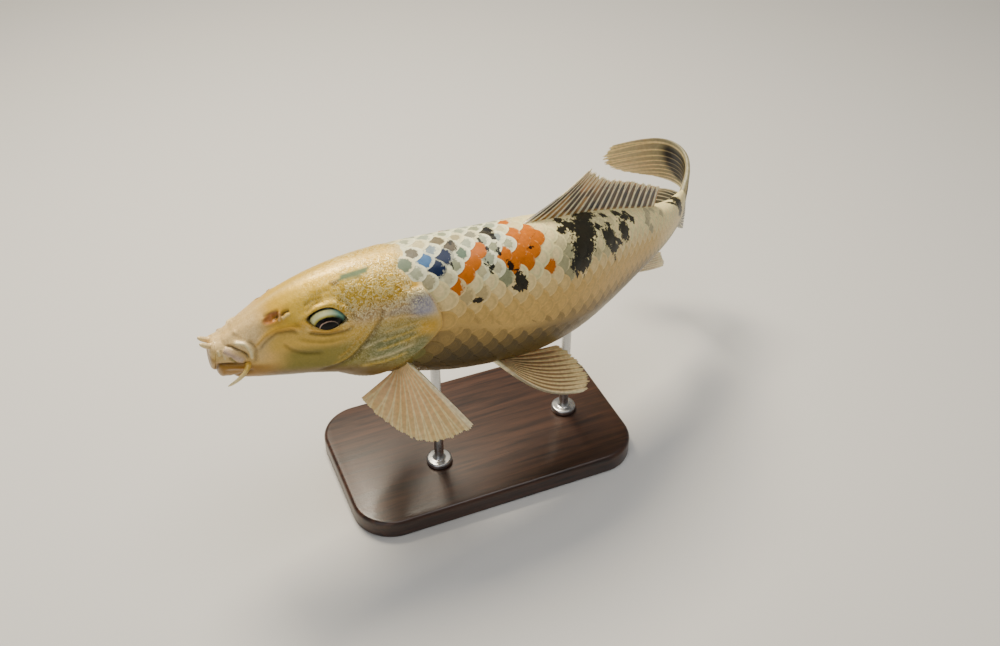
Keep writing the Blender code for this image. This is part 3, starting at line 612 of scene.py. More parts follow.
    gill_front: Pair = (0.252, 0.182)  # stations of its front edge, above and below
    gill_rear: float = 0.335  # station of its rearmost point
    gill_rear_at: float = 0.33  # how far down that lies, from 0 to 1
    gill_back_off: Pair = (0.030, 0.115)  # how far the edge draws forward, above and below
    gill_lift: float = 2.3  # height of its free edge in mm
    gill_roll: float = 0.35  # height of the roll just inside that edge
    gill_groove: float = 1.3  # depth of the groove behind it

    def gill_edges(self, angle: Array) -> tuple[Array, Array]:
        """Stations of the gill cover's front and rear edges."""
        t = np.clip((np.abs(angle) - self.gill_top) / (self.gill_bottom - self.gill_top), 0.0, 1.0)
        front = self.gill_front[0] + (self.gill_front[1] - self.gill_front[0]) * t ** 0.8
        above, below = np.maximum(1 - t / self.gill_rear_at, 0.0), np.maximum(t - self.gill_rear_at, 0.0)
        upper = self.gill_back_off[0] * above ** 2
        lower = self.gill_back_off[1] * (below / (1 - self.gill_rear_at)) ** 1.3
        return front, self.gill_rear - upper - lower

    def gill_height(self, station: Array, angle: Array) -> Array:
        """Height of the gill cover over the cheek, in mm, with the groove behind its edge."""
        front, rear = self.gill_edges(angle)
        inside = ease(np.abs(angle), self.gill_top - 7, self.gill_top + 7)
        inside *= 1 - ease(np.abs(angle), self.gill_bottom - 4, self.gill_bottom + 14)
        past = (station - rear) * FORM.length / MM
        lift = self.gill_lift * ease((station - front) / (rear - front), 0.0, 0.85)
        lift *= 1 - ease(past, -0.5, 0.4)
        rolled = self.gill_roll * np.exp(-((past + 2.2) / 1.1) ** 2)
        groove = -self.gill_groove * ease(past, -0.4, 0.4) * (1 - ease(past, 1.0, 6.0))
        return (lift + rolled + groove) * inside

    def oval(self, station: Array, angle: Array, centre: Pair, size: Pair, lean: float) -> Array:
        """Distance from an oval's centre, where 1 is its outline."""
        return Mark(Tint.BLACK, *centre, *size, lean).reach(station, angle)

    def eye_shape(self, station: Array, angle: Array) -> tuple[Array, Array]:
        """Distance from the eye's middle, where 1 is the lids' edge, and the place along it."""
        long, tall = self.eye_size
        along, across = Mark(Tint.BLACK, *self.eye_opening, 1.0, 1.0, self.eye_lean).offset(station, angle)
        share = np.clip(along / long, -1.6, 1.6)
        return np.hypot(share, across / (tall * (1 - 0.42 * np.clip(share ** 2, 0, 1)))), share

    def nape(self, angle: Array) -> Array:
        """Stations where the scales of the nape begin, at angles on the left."""
        return self.nape_edge - self.nape_bay * window(angle, 10, 26, 8)

    def scaled(self, station: Array, angle: Array) -> Array:
        """1 where scales cover the skin, 0 on the head."""
        angle = np.abs(angle)
        behind_gill = np.maximum(self.gill_edges(angle)[1], self.foremost)
        start = np.where(angle < self.gill_top, self.nape(angle), behind_gill)
        return ease(station, start - 0.002, start + 0.010)


RELIEF = HeadRelief()


# ---------------------------------------------------------------- meshes
def add_object(name: str, data: bpy.types.ID) -> Object:
    """Put a mesh, lamp or camera into the scene as an object at the origin."""
    thing = bpy.data.objects.new(name, data)
    bpy.context.scene.collection.objects.link(thing)
    return thing


def add_mesh(name: str, points: Array, faces: Sequence[Sequence[int]], smooth: bool = True,
             edges: Sequence[Sequence[int]] = ()) -> Object:
    """Make an object at the origin from points and faces, or from points and edges."""
    mesh = bpy.data.meshes.new(name)
    mesh.from_pydata(np.asarray(points, float).tolist(), edges, faces)
    mesh.update()
    if smooth:
        mesh.shade_smooth()
    return add_object(name, mesh)


def store(thing: Object, name: str, values: Array) -> None:
    """Keep values at an object's points: colours, vectors or plain numbers."""
    values = np.asarray(values, np.float32)
    kinds = {1: ("FLOAT", "value"), 3: ("FLOAT_VECTOR", "vector"), 4: ("FLOAT_COLOR", "color")}
    kind, part = kinds[values[0].size]
    thing.data.attributes.new(name, kind, "POINT").data.foreach_set(part, values.ravel())


def face_outward(thing: Object) -> None:
    """Turn every face of a closed mesh to look out."""
    build = bmesh.new()
    build.from_mesh(thing.data)
    bmesh.ops.recalc_face_normals(build, faces=build.faces[:])
    build.to_mesh(thing.data)
    build.free()


def opaque(colour: Array) -> Array:
    """Colours with a full alpha, for a colour attribute."""
    return np.concatenate([np.clip(colour, 0.0, 1.0), np.ones((*colour.shape[:-1], 1))], -1)


def lattice_faces(rows: int, columns: int, wrap: bool) -> list[list[int]]:
    """Quads over a grid of points, row by row, joined at the sides if it wraps."""
    i, j = np.meshgrid(np.arange(rows - 1), np.arange(columns if wrap else columns - 1), indexing="ij")
    k = (j + 1) % columns
    corners = [i * columns + j, i * columns + k, (i + 1) * columns + k, (i + 1) * columns + j]
    return np.stack(corners, -1).reshape(-1, 4).tolist()


def poled_faces(rows: int, columns: int) -> list[list[int]]:
    """Faces over rings of points, closed to a first and a last pole, which come after the grid's points."""
    first, last = rows * columns, (rows - 1) * columns
    pairs = [(j, (j + 1) % columns) for j in range(columns)]
    return (lattice_faces(rows, columns, True) + [[first, k, j] for j, k in pairs]
            + [[last + j, last + k, first + 1] for j, k in pairs])


def rim_loop(rows: int, columns: int) -> list[int]:
    """The points round the edge of a grid, once round: along its first row, and back to the start."""
    loop = [(0, j) for j in range(columns)] + [(i, columns - 1) for i in range(1, rows)]
    loop += [(rows - 1, j) for j in range(columns - 2, -1, -1)] + [(i, 0) for i in range(rows - 2, 0, -1)]
    return [i * columns + j for i, j in loop]


def band(upper: list[int], lower: list[int]) -> list[list[int]]:
    """Quads between two loops of as many points."""
    return [[upper[k - 1], upper[k], lower[k], lower[k - 1]] for k in [*range(1, len(upper)), 0]]


def capped_faces(rows: int, columns: int) -> list[list[int]]:
    """Faces over rings of points, with a flat face over each end."""
    ends = [list(range(columns))[::-1], list(range((rows - 1) * columns, rows * columns))]
    return lattice_faces(rows, columns, True) + ends


def bake_share(station: Array) -> Array:
    """Place of a station along the bake map, from 0 at the lips to 1 behind the tail."""
    ahead = FORM.nose_span - FORM.front
    return np.clip((np.asarray(station) + ahead) / (Skin.tail_end + 0.012 + ahead), 0.0, 1.0)


class Skin:
    """One skin over the head, jaws, gill covers, trunk and tail."""

    around = 224
    lips = 15  # rings over the rounded lips
    head_step, trunk_step = 0.00112, 0.0074
    head_end, tail_end = 0.345, 1.04
    crowding = 1.2  # how much closer the points lie over the face and flank
    last_crease = 0.36  # no fold reaches behind this station
    crease_margin = 0.03  # how far a fold is felt ahead of its path and behind it
    # Radii of the lid's fold and of the swelling round the eye, in eye sizes, with their heights in mm.
    lid, lid_width, lid_rise = 1.12, 0.20, 0.9
    orbit, orbit_rise = 1.9, 0.6
    # The nostril's rim, bowl and hole, with their heights and depths in mm.
    nostril_rim, nostril_rim_width, nostril_rise = 1.15, 0.3, 0.3
    nostril_depth, hole_depth = 1.1, 1.8
    grain_rise, grain_size = 0.05, 0.006  # fine unevenness of the bare skin, in mm and m

    def __init__(self) -> None:
        """Lay out the grid of places."""
        turn = np.linspace(0, math.pi / 2, self.lips + 1)[1:]
        front = FORM.front - FORM.nose_span * np.cos(turn[:-1])
        head = np.arange(FORM.front, self.head_end, self.head_step)
        trunk_rings = int((self.tail_end - self.head_end) / self.trunk_step)
        self.stations = np.concatenate([front, head, np.linspace(self.head_end, self.tail_end, trunk_rings)])
        turns = np.linspace(0, 180, 721)
        closeness = np.cumsum(1 + self.crowding * window(turns, 24, 104, 10))
        count = self.around // 2
        half = np.interp(np.arange(count + 1) / count, closeness / closeness[-1], turns)
        half[0] = 0.0
        self.angles = np.concatenate([-half[:0:-1], half[:-1]])
        self.station, self.angle = np.meshgrid(self.stations, self.angles, indexing="ij")

    def crease_heights(self, points: Array) -> tuple[Array, list[tuple[Crease, Array]]]:
        """Heights in mm of all folds, and the reach of those that carry a colour."""
        rows = int(np.searchsorted(self.stations, self.last_crease))
        half = np.concatenate([np.arange(self.around // 2, self.around), [0]])
        mirror = (self.around - half) % self.around
        total = np.zeros(self.station.shape)
        coloured = []
        for crease in RELIEF.creases:
            reach = [p[0] for p in crease.path]
            ends = (min(reach) - self.crease_margin, max(reach) + self.crease_margin)
            first, last = np.searchsorted(self.stations[:rows], ends)
            shape = np.zeros(self.station.shape)
            block = points[first:last][:, half].reshape(-1, 3)
            found = crease.shape(block).reshape(last - first, len(half))
            shape[first:last, half] = found
            shape[first:last, mirror] = found
            total += crease.rise * shape
            if crease.tint:
                coloured.append((crease, shape))
        return total, coloured

    def build(self) -> Object:
        """Make the skin with its relief, colours and bake map."""
        station, angle = self.station, self.angle
        rows, columns = station.shape
        points = FORM.shell(station, angle)
        normal = unit(np.cross(np.roll(points, -1, 1) - np.roll(points, 1, 1), np.gradient(points, axis=0)))
        height, coloured = self.crease_heights(points)
        side, scaled = np.abs(angle), RELIEF.scaled(station, angle)
        height += RELIEF.gill_height(station, angle) - RELIEF.coat_depth * scaled
        eye, share = RELIEF.eye_shape(station, side)
        nostril = RELIEF.oval(station, side, RELIEF.nostril, RELIEF.nostril_size, -4.0)
        hole = np.exp(-RELIEF.oval(station, side, RELIEF.nostril_hole, RELIEF.hole_size, 0.0) ** 2)
        height += self.lids(eye, share) + self.nostrils(nostril, hole)
        grain = even_noise(points.reshape(-1, 3), self.grain_size, 3).reshape(height.shape)
        height += self.grain_rise * grain * (1 - scaled)
        placed = (points + normal * height[..., None] * MM).reshape(-1, 3)
        poles = [placed[:columns].mean(0), placed[-columns:].mean(0)]
        skin = add_mesh("koi_skin", np.vstack([placed, poles]), poled_faces(rows, columns))

        colour, _ = MARKINGS.patch(MARKINGS.ground_colour(station, angle).reshape(-1, 3), station.ravel(),
                                   angle.ravel(), points.reshape(-1, 3), 0.12)
        colour = colour.reshape(points.shape)
        shades = [(crease.tint, crease.cover * shape) for crease, shape in coloured]
        past = (station - RELIEF.gill_edges(angle)[1]) * FORM.length / MM
        inside = ease(side, 30, 44) * (1 - ease(side, 152, 170))
        shades += [
            # painted shade over the sunken skin inside the eye's opening
            (Tint.EYE_RIM, 0.9 * window(eye, -1.0, 1.02, 0.05)),
            (Tint.NOSTRIL_ROSE, 0.85 * window(nostril, -1.0, 1.0, 0.25) * (1 - hole)),
            # painted shade in the nostril's hole
            (Tint.MOUTH_DARK, 0.8 * hole ** 2),
            # painted shade in the groove under the gill cover's free edge
            (Tint.BROWN, 0.75 * window(past, 0.1, 2.2, 0.5) * inside),
            (Tint.CROWN_GOLD, 0.5 * window(past, -1.6, -0.5, 0.5) * inside),
        ]
        for tint, weight in shades:
            colour = blend(colour, tint.rgb, weight[..., None])
        gleam, mottle = self.gloss(scaled)
        for name, values in (("tint", opaque(colour)), ("gleam", gleam), ("mottle", np.clip(mottle, 0, 1)),
                             ("soot", MARKINGS.soot(station, angle))):
            flat = values.reshape(rows * columns, *values.shape[2:])
            store(skin, name, np.concatenate([flat, flat[:1], flat[-1:]]))
        self.unwrap(skin, rows, columns)
        return skin

    def lids(self, eye: Array, share: Array) -> Array:
        """Heights in mm round and inside the eye's socket."""
        deep, shallow = RELIEF.socket_depth
        socket = deep + (shallow - deep) * ease(np.abs(share), 0.70, 0.92)
        rise = self.lid_rise * np.exp(-((eye - self.lid) / self.lid_width) ** 2)
        rise += self.orbit_rise * np.exp(-(eye / self.orbit) ** 4)
        return rise - socket * (1 - ease(eye, 0.80, 1.0))

    def nostrils(self, nostril: Array, hole: Array) -> Array:
        """Heights in mm of the nostril's rim, bowl and hole."""
        rise = self.nostril_rise * np.exp(-((nostril - self.nostril_rim) / self.nostril_rim_width) ** 2)
        return rise - self.nostril_depth * (1 - ease(nostril, 0.3, 1.1)) - self.hole_depth * hole

    def gloss(self, scaled: Array) -> tuple[Array, Array]:
        """How metallic the skin gleams, and how strongly winding lines show on it."""
        station, side = self.station, np.abs(self.angle)
        crown = (1 - scaled) * (1 - ease(side, 44, 66))
        cheek = window(station, 0.09, 0.31, 0.03) * window(side, 34, 118, 12) * (1 - scaled)
        gilded = window(station, 0.185, 0.300, 0.02) * window(side, 6, 48, 7) * (1 - scaled)
        gleam = 0.06 + 0.22 * crown * ease(station, 0.06, 0.14) + 0.30 * cheek
        mottle = 0.95 * gilded + 0.38 * cheek * ease(station, 0.16, 0.23)
        mottle += 0.30 * crown * ease(station, 0.10, 0.15)
        mottle = np.maximum(mottle, 0.22 * (1 - ease(station, 0.05, 0.09)) * (1 - ease(side, 84, 104)))
        return gleam, mottle * ease(LEAF.reach(station, self.angle), 0.9, 1.4)

    def unwrap(self, skin: Object, rows: int, columns: int) -> None:
        """Lay the skin out flat for the bake: along the body in u, round it in v."""
        mesh = skin.data
        corner = np.empty(len(mesh.loops), np.int32)
        mesh.loops.foreach_get("vertex_index", corner)
        row, column = corner // columns, corner % columns
        across = (self.angles[column] + 180) / 360
        starts = np.empty(len(mesh.polygons), np.int32)
        mesh.polygons.foreach_get("loop_start", starts)
        owner = np.repeat(np.arange(len(starts)), np.diff(np.append(starts, len(corner))))
        seam = np.zeros(len(starts), bool)
        np.logical_or.at(seam, owner, column == columns - 1)
        across = np.where(seam[owner] & (column == 0), 1.0, across)
        along = bake_share(np.append(self.stations, (self.tail_end + 0.01, self.tail_end + 0.01)))[row]
        along = np.where(corner == rows * columns, 0.0, along)
        layer = mesh.uv_layers.new(name="OFBake")
        layer.data.foreach_set("uv", np.stack([along, across], -1).ravel().astype(np.float32))


# ---------------------------------------------------------------- node trees
def add_node(tree: Tree, kind: str, inputs: dict[str | int, object] | None = None, out: int | str | None = 0,
             **settings: object) -> Socket | Node:
    """Add a node, set its properties, and give each named input a value or a link.

    Args:
        tree: The tree that gets it.
        kind: Its type, without the prefix that all shading nodes share.
        inputs: A value or another node's output for each named input.
        out: The output that is wanted, or None for the node itself.
        settings: Its properties.

    Returns:
        The wanted output, or the node.
    """
    own_prefix = kind.startswith(("GeometryNode", "FunctionNode", "NodeGroup"))
    node = tree.nodes.new(kind if own_prefix else "ShaderNode" + kind)
    for name, value in settings.items():
        setattr(node, name, value)
    for name, value in (inputs or {}).items():
        if isinstance(value, Socket):
            tree.links.new(value, node.inputs[name])
        else:
            node.inputs[name].default_value = value
    return node if out is None else node.outputs[out]


def new_geometry_tree(name: str, inputs: dict[str, str]) -> tuple[Tree, dict[str, Socket], dict[str, str]]:
    """A geometry tree with named inputs.

    Args:
        name: The tree's name.
        inputs: The kind of each input, less the prefix that they share.

    Returns:
        The tree, the outputs of its input node by name, and each input's identifier.
    """
    tree = bpy.data.node_groups.new(name, "GeometryNodeTree")
    tree.interface.new_socket("Geometry", in_out="INPUT", socket_type="NodeSocketGeometry")
    sockets = {label: tree.interface.new_socket(label, in_out="INPUT", socket_type="NodeSocket" + kind)
               for label, kind in inputs.items()}
    tree.interface.new_socket("Geometry", in_out="OUTPUT", socket_type="NodeSocketGeometry")
    given = tree.nodes.new("NodeGroupInput").outputs
    return tree, given, {label: socket.identifier for label, socket in sockets.items()}


def close_tree(tree: Tree, geometry: Socket, finish: Socket) -> None:
    """End a geometry tree: give the geometry its material and hand it out."""
    dressed = add_node(tree, "GeometryNodeSetMaterial", {"Geometry": geometry, "Material": finish})
    add_node(tree, "NodeGroupOutput", {"Geometry": dressed}, None)


def grown(base: Object, tree: Tree, settings: dict[str, object], name: str) -> Object:
    """The plain mesh that a geometry tree makes from a base object, which is then removed."""
    modifier = base.modifiers.new("grow", "NODES")
    modifier.node_group = tree
    for identifier, value in settings.items():
        modifier[identifier] = value
    graph = bpy.context.evaluated_depsgraph_get()
    mesh = bpy.data.meshes.new_from_object(base.evaluated_get(graph), preserve_all_data_layers=True,
                                           depsgraph=graph)
    mesh.name = name
    mesh.shade_smooth()
    bpy.data.objects.remove(base, do_unlink=True)
    return add_object(name, mesh)


# ---------------------------------------------------------------- scales
@dataclass(frozen=True)
class ScaleCoat:
    """The overlapping scales of the trunk, in rows that run parallel to the back."""

    # Distance between neighbours in a row and between rows, by station, as parts of the length.
    spacing: SmoothCurve = SmoothCurve((0.18, 0.31, 0.39, 0.56, 0.70, 0.82, 0.92, 1.04),
                                       (0.031, 0.0305, 0.0255, 0.0250, 0.0220, 0.0175, 0.0135, 0.0105))
    pitch: SmoothCurve = SmoothCurve((0.18, 0.35, 0.56, 0.70, 0.82, 0.92, 1.04),
                                     (0.0168, 0.0172, 0.0172, 0.0150, 0.0120, 0.0092, 0.0068))
    first_centre: float = 0.193
    last_centre: float = 1.028
    foremost: float = 0.235  # no scale starts ahead of this station
    length_share: float = 1.75  # length of a scale over the distance between neighbours
    breadth_share: float = 2.05  # breadth of a scale over the distance between rows
    centre_share: float = 0.715  # where the middle of its bare part lies along it
    patch: float = 0.003  # its size on the bake map
    cells: int = 7  # faces across the top of a scale
    root_height: float = -0.12  # heights of its upper face in mm
    edge_height: float = 0.55
    droop: float = 0.15
    thickness: float = 0.22
    seed: int = 17
    guide_grid: tuple[float, float, int, float] = (0.17, 1.065, 420, 1.5)  # ends, rings, step in degrees

    def template(self) -> Object:
        """One flat oval scale of unit size, with its heights and its own coordinates stored."""
        n = self.cells + 1
        p, q = np.meshgrid(np.linspace(-1, 1, n), np.linspace(-1, 1, n), indexing="ij")
        x, y = (p * np.sqrt(1 - q * q / 2)).ravel(), (q * np.sqrt(1 - p * p / 2)).ravel()
        top = self.root_height + (self.edge_height - self.root_height) * ease((x + 1) / 2, 0.05, 0.95)
        top = top - self.droop * y ** 2
        loop = rim_loop(n, n)
        rim = loop[:1] + loop[:0:-1]
        low = list(range(n * n, n * n + len(rim)))
        faces = [face[::-1] for face in lattice_faces(n, n, False) + band(rim, low) + [low]]
        places = np.stack([(x + 1) / 2, y / 2, 0 * x], -1)
        scale = add_mesh("scale_template", np.vstack([places, places[rim]]), faces)
        leaf = np.stack([x, y, 0 * x], -1)
        store(scale, "height", np.concatenate([top, top[rim] - self.thickness]))
        store(scale, "leaf", np.vstack([leaf, leaf[rim]]))
        return scale

    def guide(self) -> Object:
        """The smooth surface under the scales, with its outward way at each point."""
        first, last, rings, step = self.guide_grid
        turns = np.arange(0, 360, step) - 180
        station, angle = np.meshgrid(np.linspace(first, last, rings), turns, indexing="ij")
        way = FORM.outward(station, angle)
        points = FORM.shell(station, angle) - way * RELIEF.coat_depth * MM
        guide = add_mesh("scale_guide", points.reshape(-1, 3), lattice_faces(*station.shape, True))
        store(guide, "way", way.reshape(-1, 3))
        store(guide, "soot", MARKINGS.soot(station, angle).ravel())
        return guide

    def places(self) -> tuple[Array, Array, Array]:
        """Row number, station and angle of the middle of each scale's bare part."""
        columns = [self.first_centre]
        while columns[-1] < self.last_centre:
            columns.append(columns[-1] + float(self.spacing(columns[-1])))
        found = []
        for half in range(2 * len(columns) - 1):
            station = float(np.interp(half / 2, np.arange(len(columns)), columns))
            pitch, arc, turns = float(self.pitch(station)), *self.arcs(station)
            for row in range(half % 2, int(arc[-1] / pitch) + 1, 2):
                for side in ((1, -1) if row else (1,)):
                    found.append((row * side, station, side * float(np.interp(row * pitch, arc, turns))))
        row, station, angle = zip(*found)
        return np.array(row), np.array(station), np.array(angle)

    def arcs(self, station: float) -> tuple[Array, Array]:
        """Distance round the body from the back to each of some angles, and these angles."""
        turns = np.linspace(0, 180, 181)
        side, height = FORM.section(np.full(len(turns), station), turns)
        return np.concatenate([[0.0], np.cumsum(np.hypot(np.diff(side), np.diff(height)))]), turns

    def angle_of(self, row: Array, station: Array) -> Array:
        """Angles at which rows lie at given stations."""
        return np.array([np.interp(abs(r) * float(self.pitch(s)), *self.arcs(float(s))) * np.sign(r)
                         for r, s in zip(row, station)])

    def colours(self, station: Array, angle: Array, place: Array, draw: Array) -> tuple[Array, Array, Array]:
        """Colours of each scale's middle and rim, and how far the middle's colour spreads."""
        ground = MARKINGS.ground_colour(station, angle)
        net = MARKINGS.net_zone.weight(station, angle)[:, None]
        slate = blend(Tint.SLATE_PALE.rgb, Tint.SLATE_GREEN.rgb, draw[:, :1])
        middle = blend(ground, slate, 0.75 * net)
        middle, covered = MARKINGS.patch(middle, station, angle, place, 0.04)
        rim = blend(ground, Tint.NET_WHITE.rgb, net)
        rim = np.clip(rim * (1.02 + 0.06 * (1 - ease(np.abs(angle), 40, 75)))[:, None], 0, 1)
        dark = covered * (middle.mean(1) < 0.08)
        rim = blend(rim, middle, (0.78 * covered + 0.05 * dark)[:, None])
        shade = 1 + 0.05 * (draw[:, 1:2] - 0.5)
        spread = 1.0 + 0.80 * covered + 0.40 * (draw[:, 3] - 0.5) * (1 - covered)
        return middle * shade, rim * shade, spread

    def build(self, finish: Material) -> list[Object]:
        """Make the scales of each side as one mesh."""
        row, station, angle = self.places()
        long = self.spacing(station) * self.length_share
        root = station - self.centre_share * long
        root_angle = self.angle_of(row, root)
        nape, gill = RELIEF.nape(np.abs(angle)), RELIEF.gill_edges(angle)[1]
        start = np.maximum(np.where(np.abs(angle) < RELIEF.gill_top, nape, gill), self.foremost)
        bare = station - 0.10 * long > start
        row, station, angle, long, root, root_angle = (v[bare] for v in (row, station, angle, long, root,
                                                                         root_angle))
        draw = np.random.default_rng(self.seed).uniform(size=(len(row), 4))
        place, middle_place = FORM.shell(root, root_angle), FORM.shell(station, angle)
        middle, rim, spread = self.colours(station, angle, middle_place, draw)
        size = np.stack([long * (0.98 + 0.04 * draw[:, 2]), self.pitch(station) * self.breadth_share,
                         0 * long + 1], -1)
        size[:, :2] *= FORM.length
        values = {"out": FORM.outward(root, root_angle), "along": unit(middle_place - place), "size": size,
                  "bake": np.stack([bake_share(root), (root_angle + 180) / 360, 0 * root], -1),
                  "lift": 1.0 - 0.35 * ease(np.abs(angle), 45, 90) + 0.12 * (draw[:, 3] - 0.5),
                  "spread": spread, "tint": opaque(middle), "rim": opaque(rim)}
        template, guide = self.template(), self.guide()
        tree, names = self.tree()
        settings = {names["Guide"]: guide, names["Scale"]: template, names["Finish"]: finish,
                    names["Patch"]: self.patch, names["Millimetre"]: MM}
        sides = []
        for name, side in (("left", row >= 0), ("right", row < 0)):
            roots = add_mesh("scale_roots_" + name, place[side], [])
            for label, value in values.items():
                store(roots, label, value[side])
            coat = grown(roots, tree, settings, "koi_scales_" + name)
            coat.data.set_sharp_from_angle(angle=math.radians(60))
            sides.append(coat)
            log.info("scales %s: %d scales", name, int(side.sum()))
        for helper in (template, guide):
            bpy.data.objects.remove(helper, do_unlink=True)
        return sides

    def tree(self) -> tuple[Tree, dict[str, str]]:
        """The tree that sets a scale on each root and bends it onto the body.

        Returns:
            The tree, and each input's identifier.
        """
        tree, given, names = new_geometry_tree("lay_scales", {
            "Guide": "Object", "Scale": "Object", "Finish": "Material",
            "Patch": "Float", "Millimetre": "Float"})
        node = partial(add_node, tree)
        scale, guide = (node("GeometryNodeObjectInfo", {"Object": given[name]}, "Geometry")
                        for name in ("Scale", "Guide"))
        kinds = {"FLOAT_VECTOR": ("out", "along", "size", "way", "leaf", "bake"),
                 "FLOAT": ("height", "lift", "soot")}
        kept = {name: node("GeometryNodeInputNamedAttribute", {"Name": name}, data_type=kind)
                for kind, group in kinds.items() for name in group}
        axes = {"Primary Axis": kept["out"], "Secondary Axis": kept["along"]}
        turned = node("FunctionNodeAxesToRotation", axes, primary_axis="Z", secondary_axis="X")
        points = node("GeometryNodeMeshToPoints", {"Mesh": given["Geometry"]})
        laid = node("GeometryNodeInstanceOnPoints", {"Points": points, "Instance": scale, "Rotation": turned,
                                                     "Scale": kept["size"]})
        real = node("GeometryNodeRealizeInstances", {"Geometry": laid})
        where = node("GeometryNodeInputPosition")
        onto, way, soot = (
            node("GeometryNodeSampleNearestSurface", {"Mesh": guide, "Value": value}, data_type=kind)
            for value, kind in ((where, "FLOAT_VECTOR"), (kept["way"], "FLOAT_VECTOR"),
                                (kept["soot"], "FLOAT")))
        high = node("Math", {0: kept["height"], 1: kept["lift"]}, operation="MULTIPLY")
        metres = node("Math", {0: high, 1: given["Millimetre"]}, operation="MULTIPLY")
        rise = node("VectorMath", {0: way, "Scale": metres}, operation="SCALE")
        spot = node("VectorMath", {0: onto, 1: rise}, operation="ADD")
        sooty = node("GeometryNodeStoreNamedAttribute", {"Geometry": real, "Name": "soot", "Value": soot},
                     data_type="FLOAT")
        bent = node("GeometryNodeSetPosition", {"Geometry": sooty, "Position": spot})
        small = node("VectorMath", {0: kept["leaf"], "Scale": given["Patch"]}, operation="SCALE")
        half = node("VectorMath", {0: small, "Scale": 0.5}, operation="SCALE")
        flat = node("VectorMath", {0: kept["bake"], 1: half}, operation="ADD")
        mapped = node("GeometryNodeStoreNamedAttribute", {"Geometry": bent, "Name": "OFBake", "Value": flat},
                      data_type="FLOAT2", domain="CORNER")
        close_tree(tree, mapped, given["Finish"])
        return tree, names


# ---------------------------------------------------------------- fins
Sheet = Callable[[Array, Array], Array]
Dark = Callable[[Array, Array, Array], Array]


@dataclass
class Fin:
    """A thin web on soft rays that branch toward its edge."""

    name: str
    node: str
    sheet: Sheet  # points of its middle surface, from across and along
    rays: int
    rows: int = 44
    cells: int = 12  # faces across each ray and its strip of web
    root: float = 1.8  # thickness in mm at the root, at the tip, and of a ray over it
    tip: float = 0.35
    ray: float = 0.9
    ray_width: float = 0.24  # half width of a ray over the distance between rays
    branches: Pair = (0.42, 0.70)  # where along it the rays first and next part
    parting: Pair = (0.21, 0.085)  # how far, as parts of the distance between rays
    ragged: float = 0.02  # how deep its edge is notched, as a part of its length
    wave: Triple = (0.0, 1.0, 0.0)  # height in mm, swells across it, phase
    lead: float = 0.0  # how much thicker its first ray is, in mm
    ray_tint: Tint = Tint.FIN_CREAM
    web_tint: Tint = Tint.FIN_TAN
    dark: Dark | None = None  # black in the web, from across, along and ray
    clear: float = 0.15  # how much light goes straight through the web at its edge

    def ray_shape(self, across: Array, along: Array) -> Array:
        """1 on the middle of a ray or of one of its branches, 0 on the web."""
        gap = np.abs((across * self.rays) % 1.0 - 0.5)
        for start, apart in zip(self.branches, self.parting):
            gap = np.abs(gap - apart * ease(along, start, 1.05))
        width = self.ray_width * (1 - 0.66 * ease(along, 0.05, 0.95))
        return np.exp(-(gap / width) ** 2 * 1.6)

    def build(self, finish: Material) -> Object:
        """Make the fin as one closed, ribbed plate."""
        rows, columns = self.rows, self.rays * self.cells + 1
        across, along = np.meshgrid(np.linspace(0, 1, columns), np.linspace(0, 1, rows), indexing="xy")
        ray = self.ray_shape(across, along)
        notches = 0.5 + 0.5 * np.sin(across * 61.0 + 2 * np.sin(across * 23.0))
        reach = along * (1 - self.ragged * ease(along, 0.6, 1.0) * (1 - ray + notches))
        small = 1e-3
        way = unit(np.cross(self.sheet(across + small, reach) - self.sheet(across - small, reach),
                            self.sheet(across, reach + small) - self.sheet(across, reach - small)))
        height, swells, phase = self.wave
        ripple = height * MM * along ** 1.5 * np.sin(2 * math.pi * (swells * across + phase) + 1.5 * along)
        middle = self.sheet(across, reach) + way * ripple[..., None]
        half = way * self.half_thickness(across, along, ray)[..., None]
        loop, count = rim_loop(rows, columns), columns * rows
        front = lattice_faces(rows, columns, False)
        back = [[count + k for k in face[::-1]] for face in front]
        points = np.vstack([(middle + half).reshape(-1, 3), (middle - half).reshape(-1, 3)])
        fin = add_mesh("koi_" + self.name, points, front + back + band(loop, [count + k for k in loop]))
        face_outward(fin)
        self.paint(fin, across, along, ray)
        fin.data.materials.append(finish)
        return fin

    def half_thickness(self, across: Array, along: Array, ray: Array) -> Array:
        """Half the plate's thickness in metres, with the joints that cross the rays."""
        web = self.root + (self.tip - self.root) * ease(along, 0.0, 0.7)
        lead = self.lead * np.exp(-(across * self.rays / 0.7) ** 2) * (1 - 0.6 * along)
        joints = 1 - 0.10 * ray * ease(along, 0.15, 0.3) * (np.sin(along * 190.0) > 0.75)
        half = 0.5 * MM * ((web + self.ray * ray * (1 - 0.72 * along)) * joints + lead)
        return half * (1 - 0.55 * ease(along, 0.93, 1.0))

    def paint(self, fin: Object, across: Array, along: Array, ray: Array) -> None:
        """Store the colours of rays and web, and how clear the web is."""
        share = ease(ray, 0.25, 0.75)
        paler = 0.25 * ease(along, 0.5, 1.0)
        front = 0.85 * np.exp(-(across * self.rays / 0.5) ** 2)
        black = np.zeros(along.shape) if self.dark is None else np.clip(self.dark(across, along, ray), 0, 1)
        colour = self.web_tint.rgb
        for tint, weight in ((Tint.FIN_CREAM, paler), (self.ray_tint, share), (Tint.FIN_WHITE, front),
                             (Tint.BLACK, black)):
            colour = blend(colour, tint.rgb, weight[..., None])
        clear = self.clear * ease(along, 0.15, 0.95) * (1 - 0.55 * share) * (1 - 0.8 * black)
        store(fin, "tint", np.tile(opaque(colour).reshape(-1, 4), (2, 1)))
        store(fin, "clear", np.tile(clear.ravel(), 2))


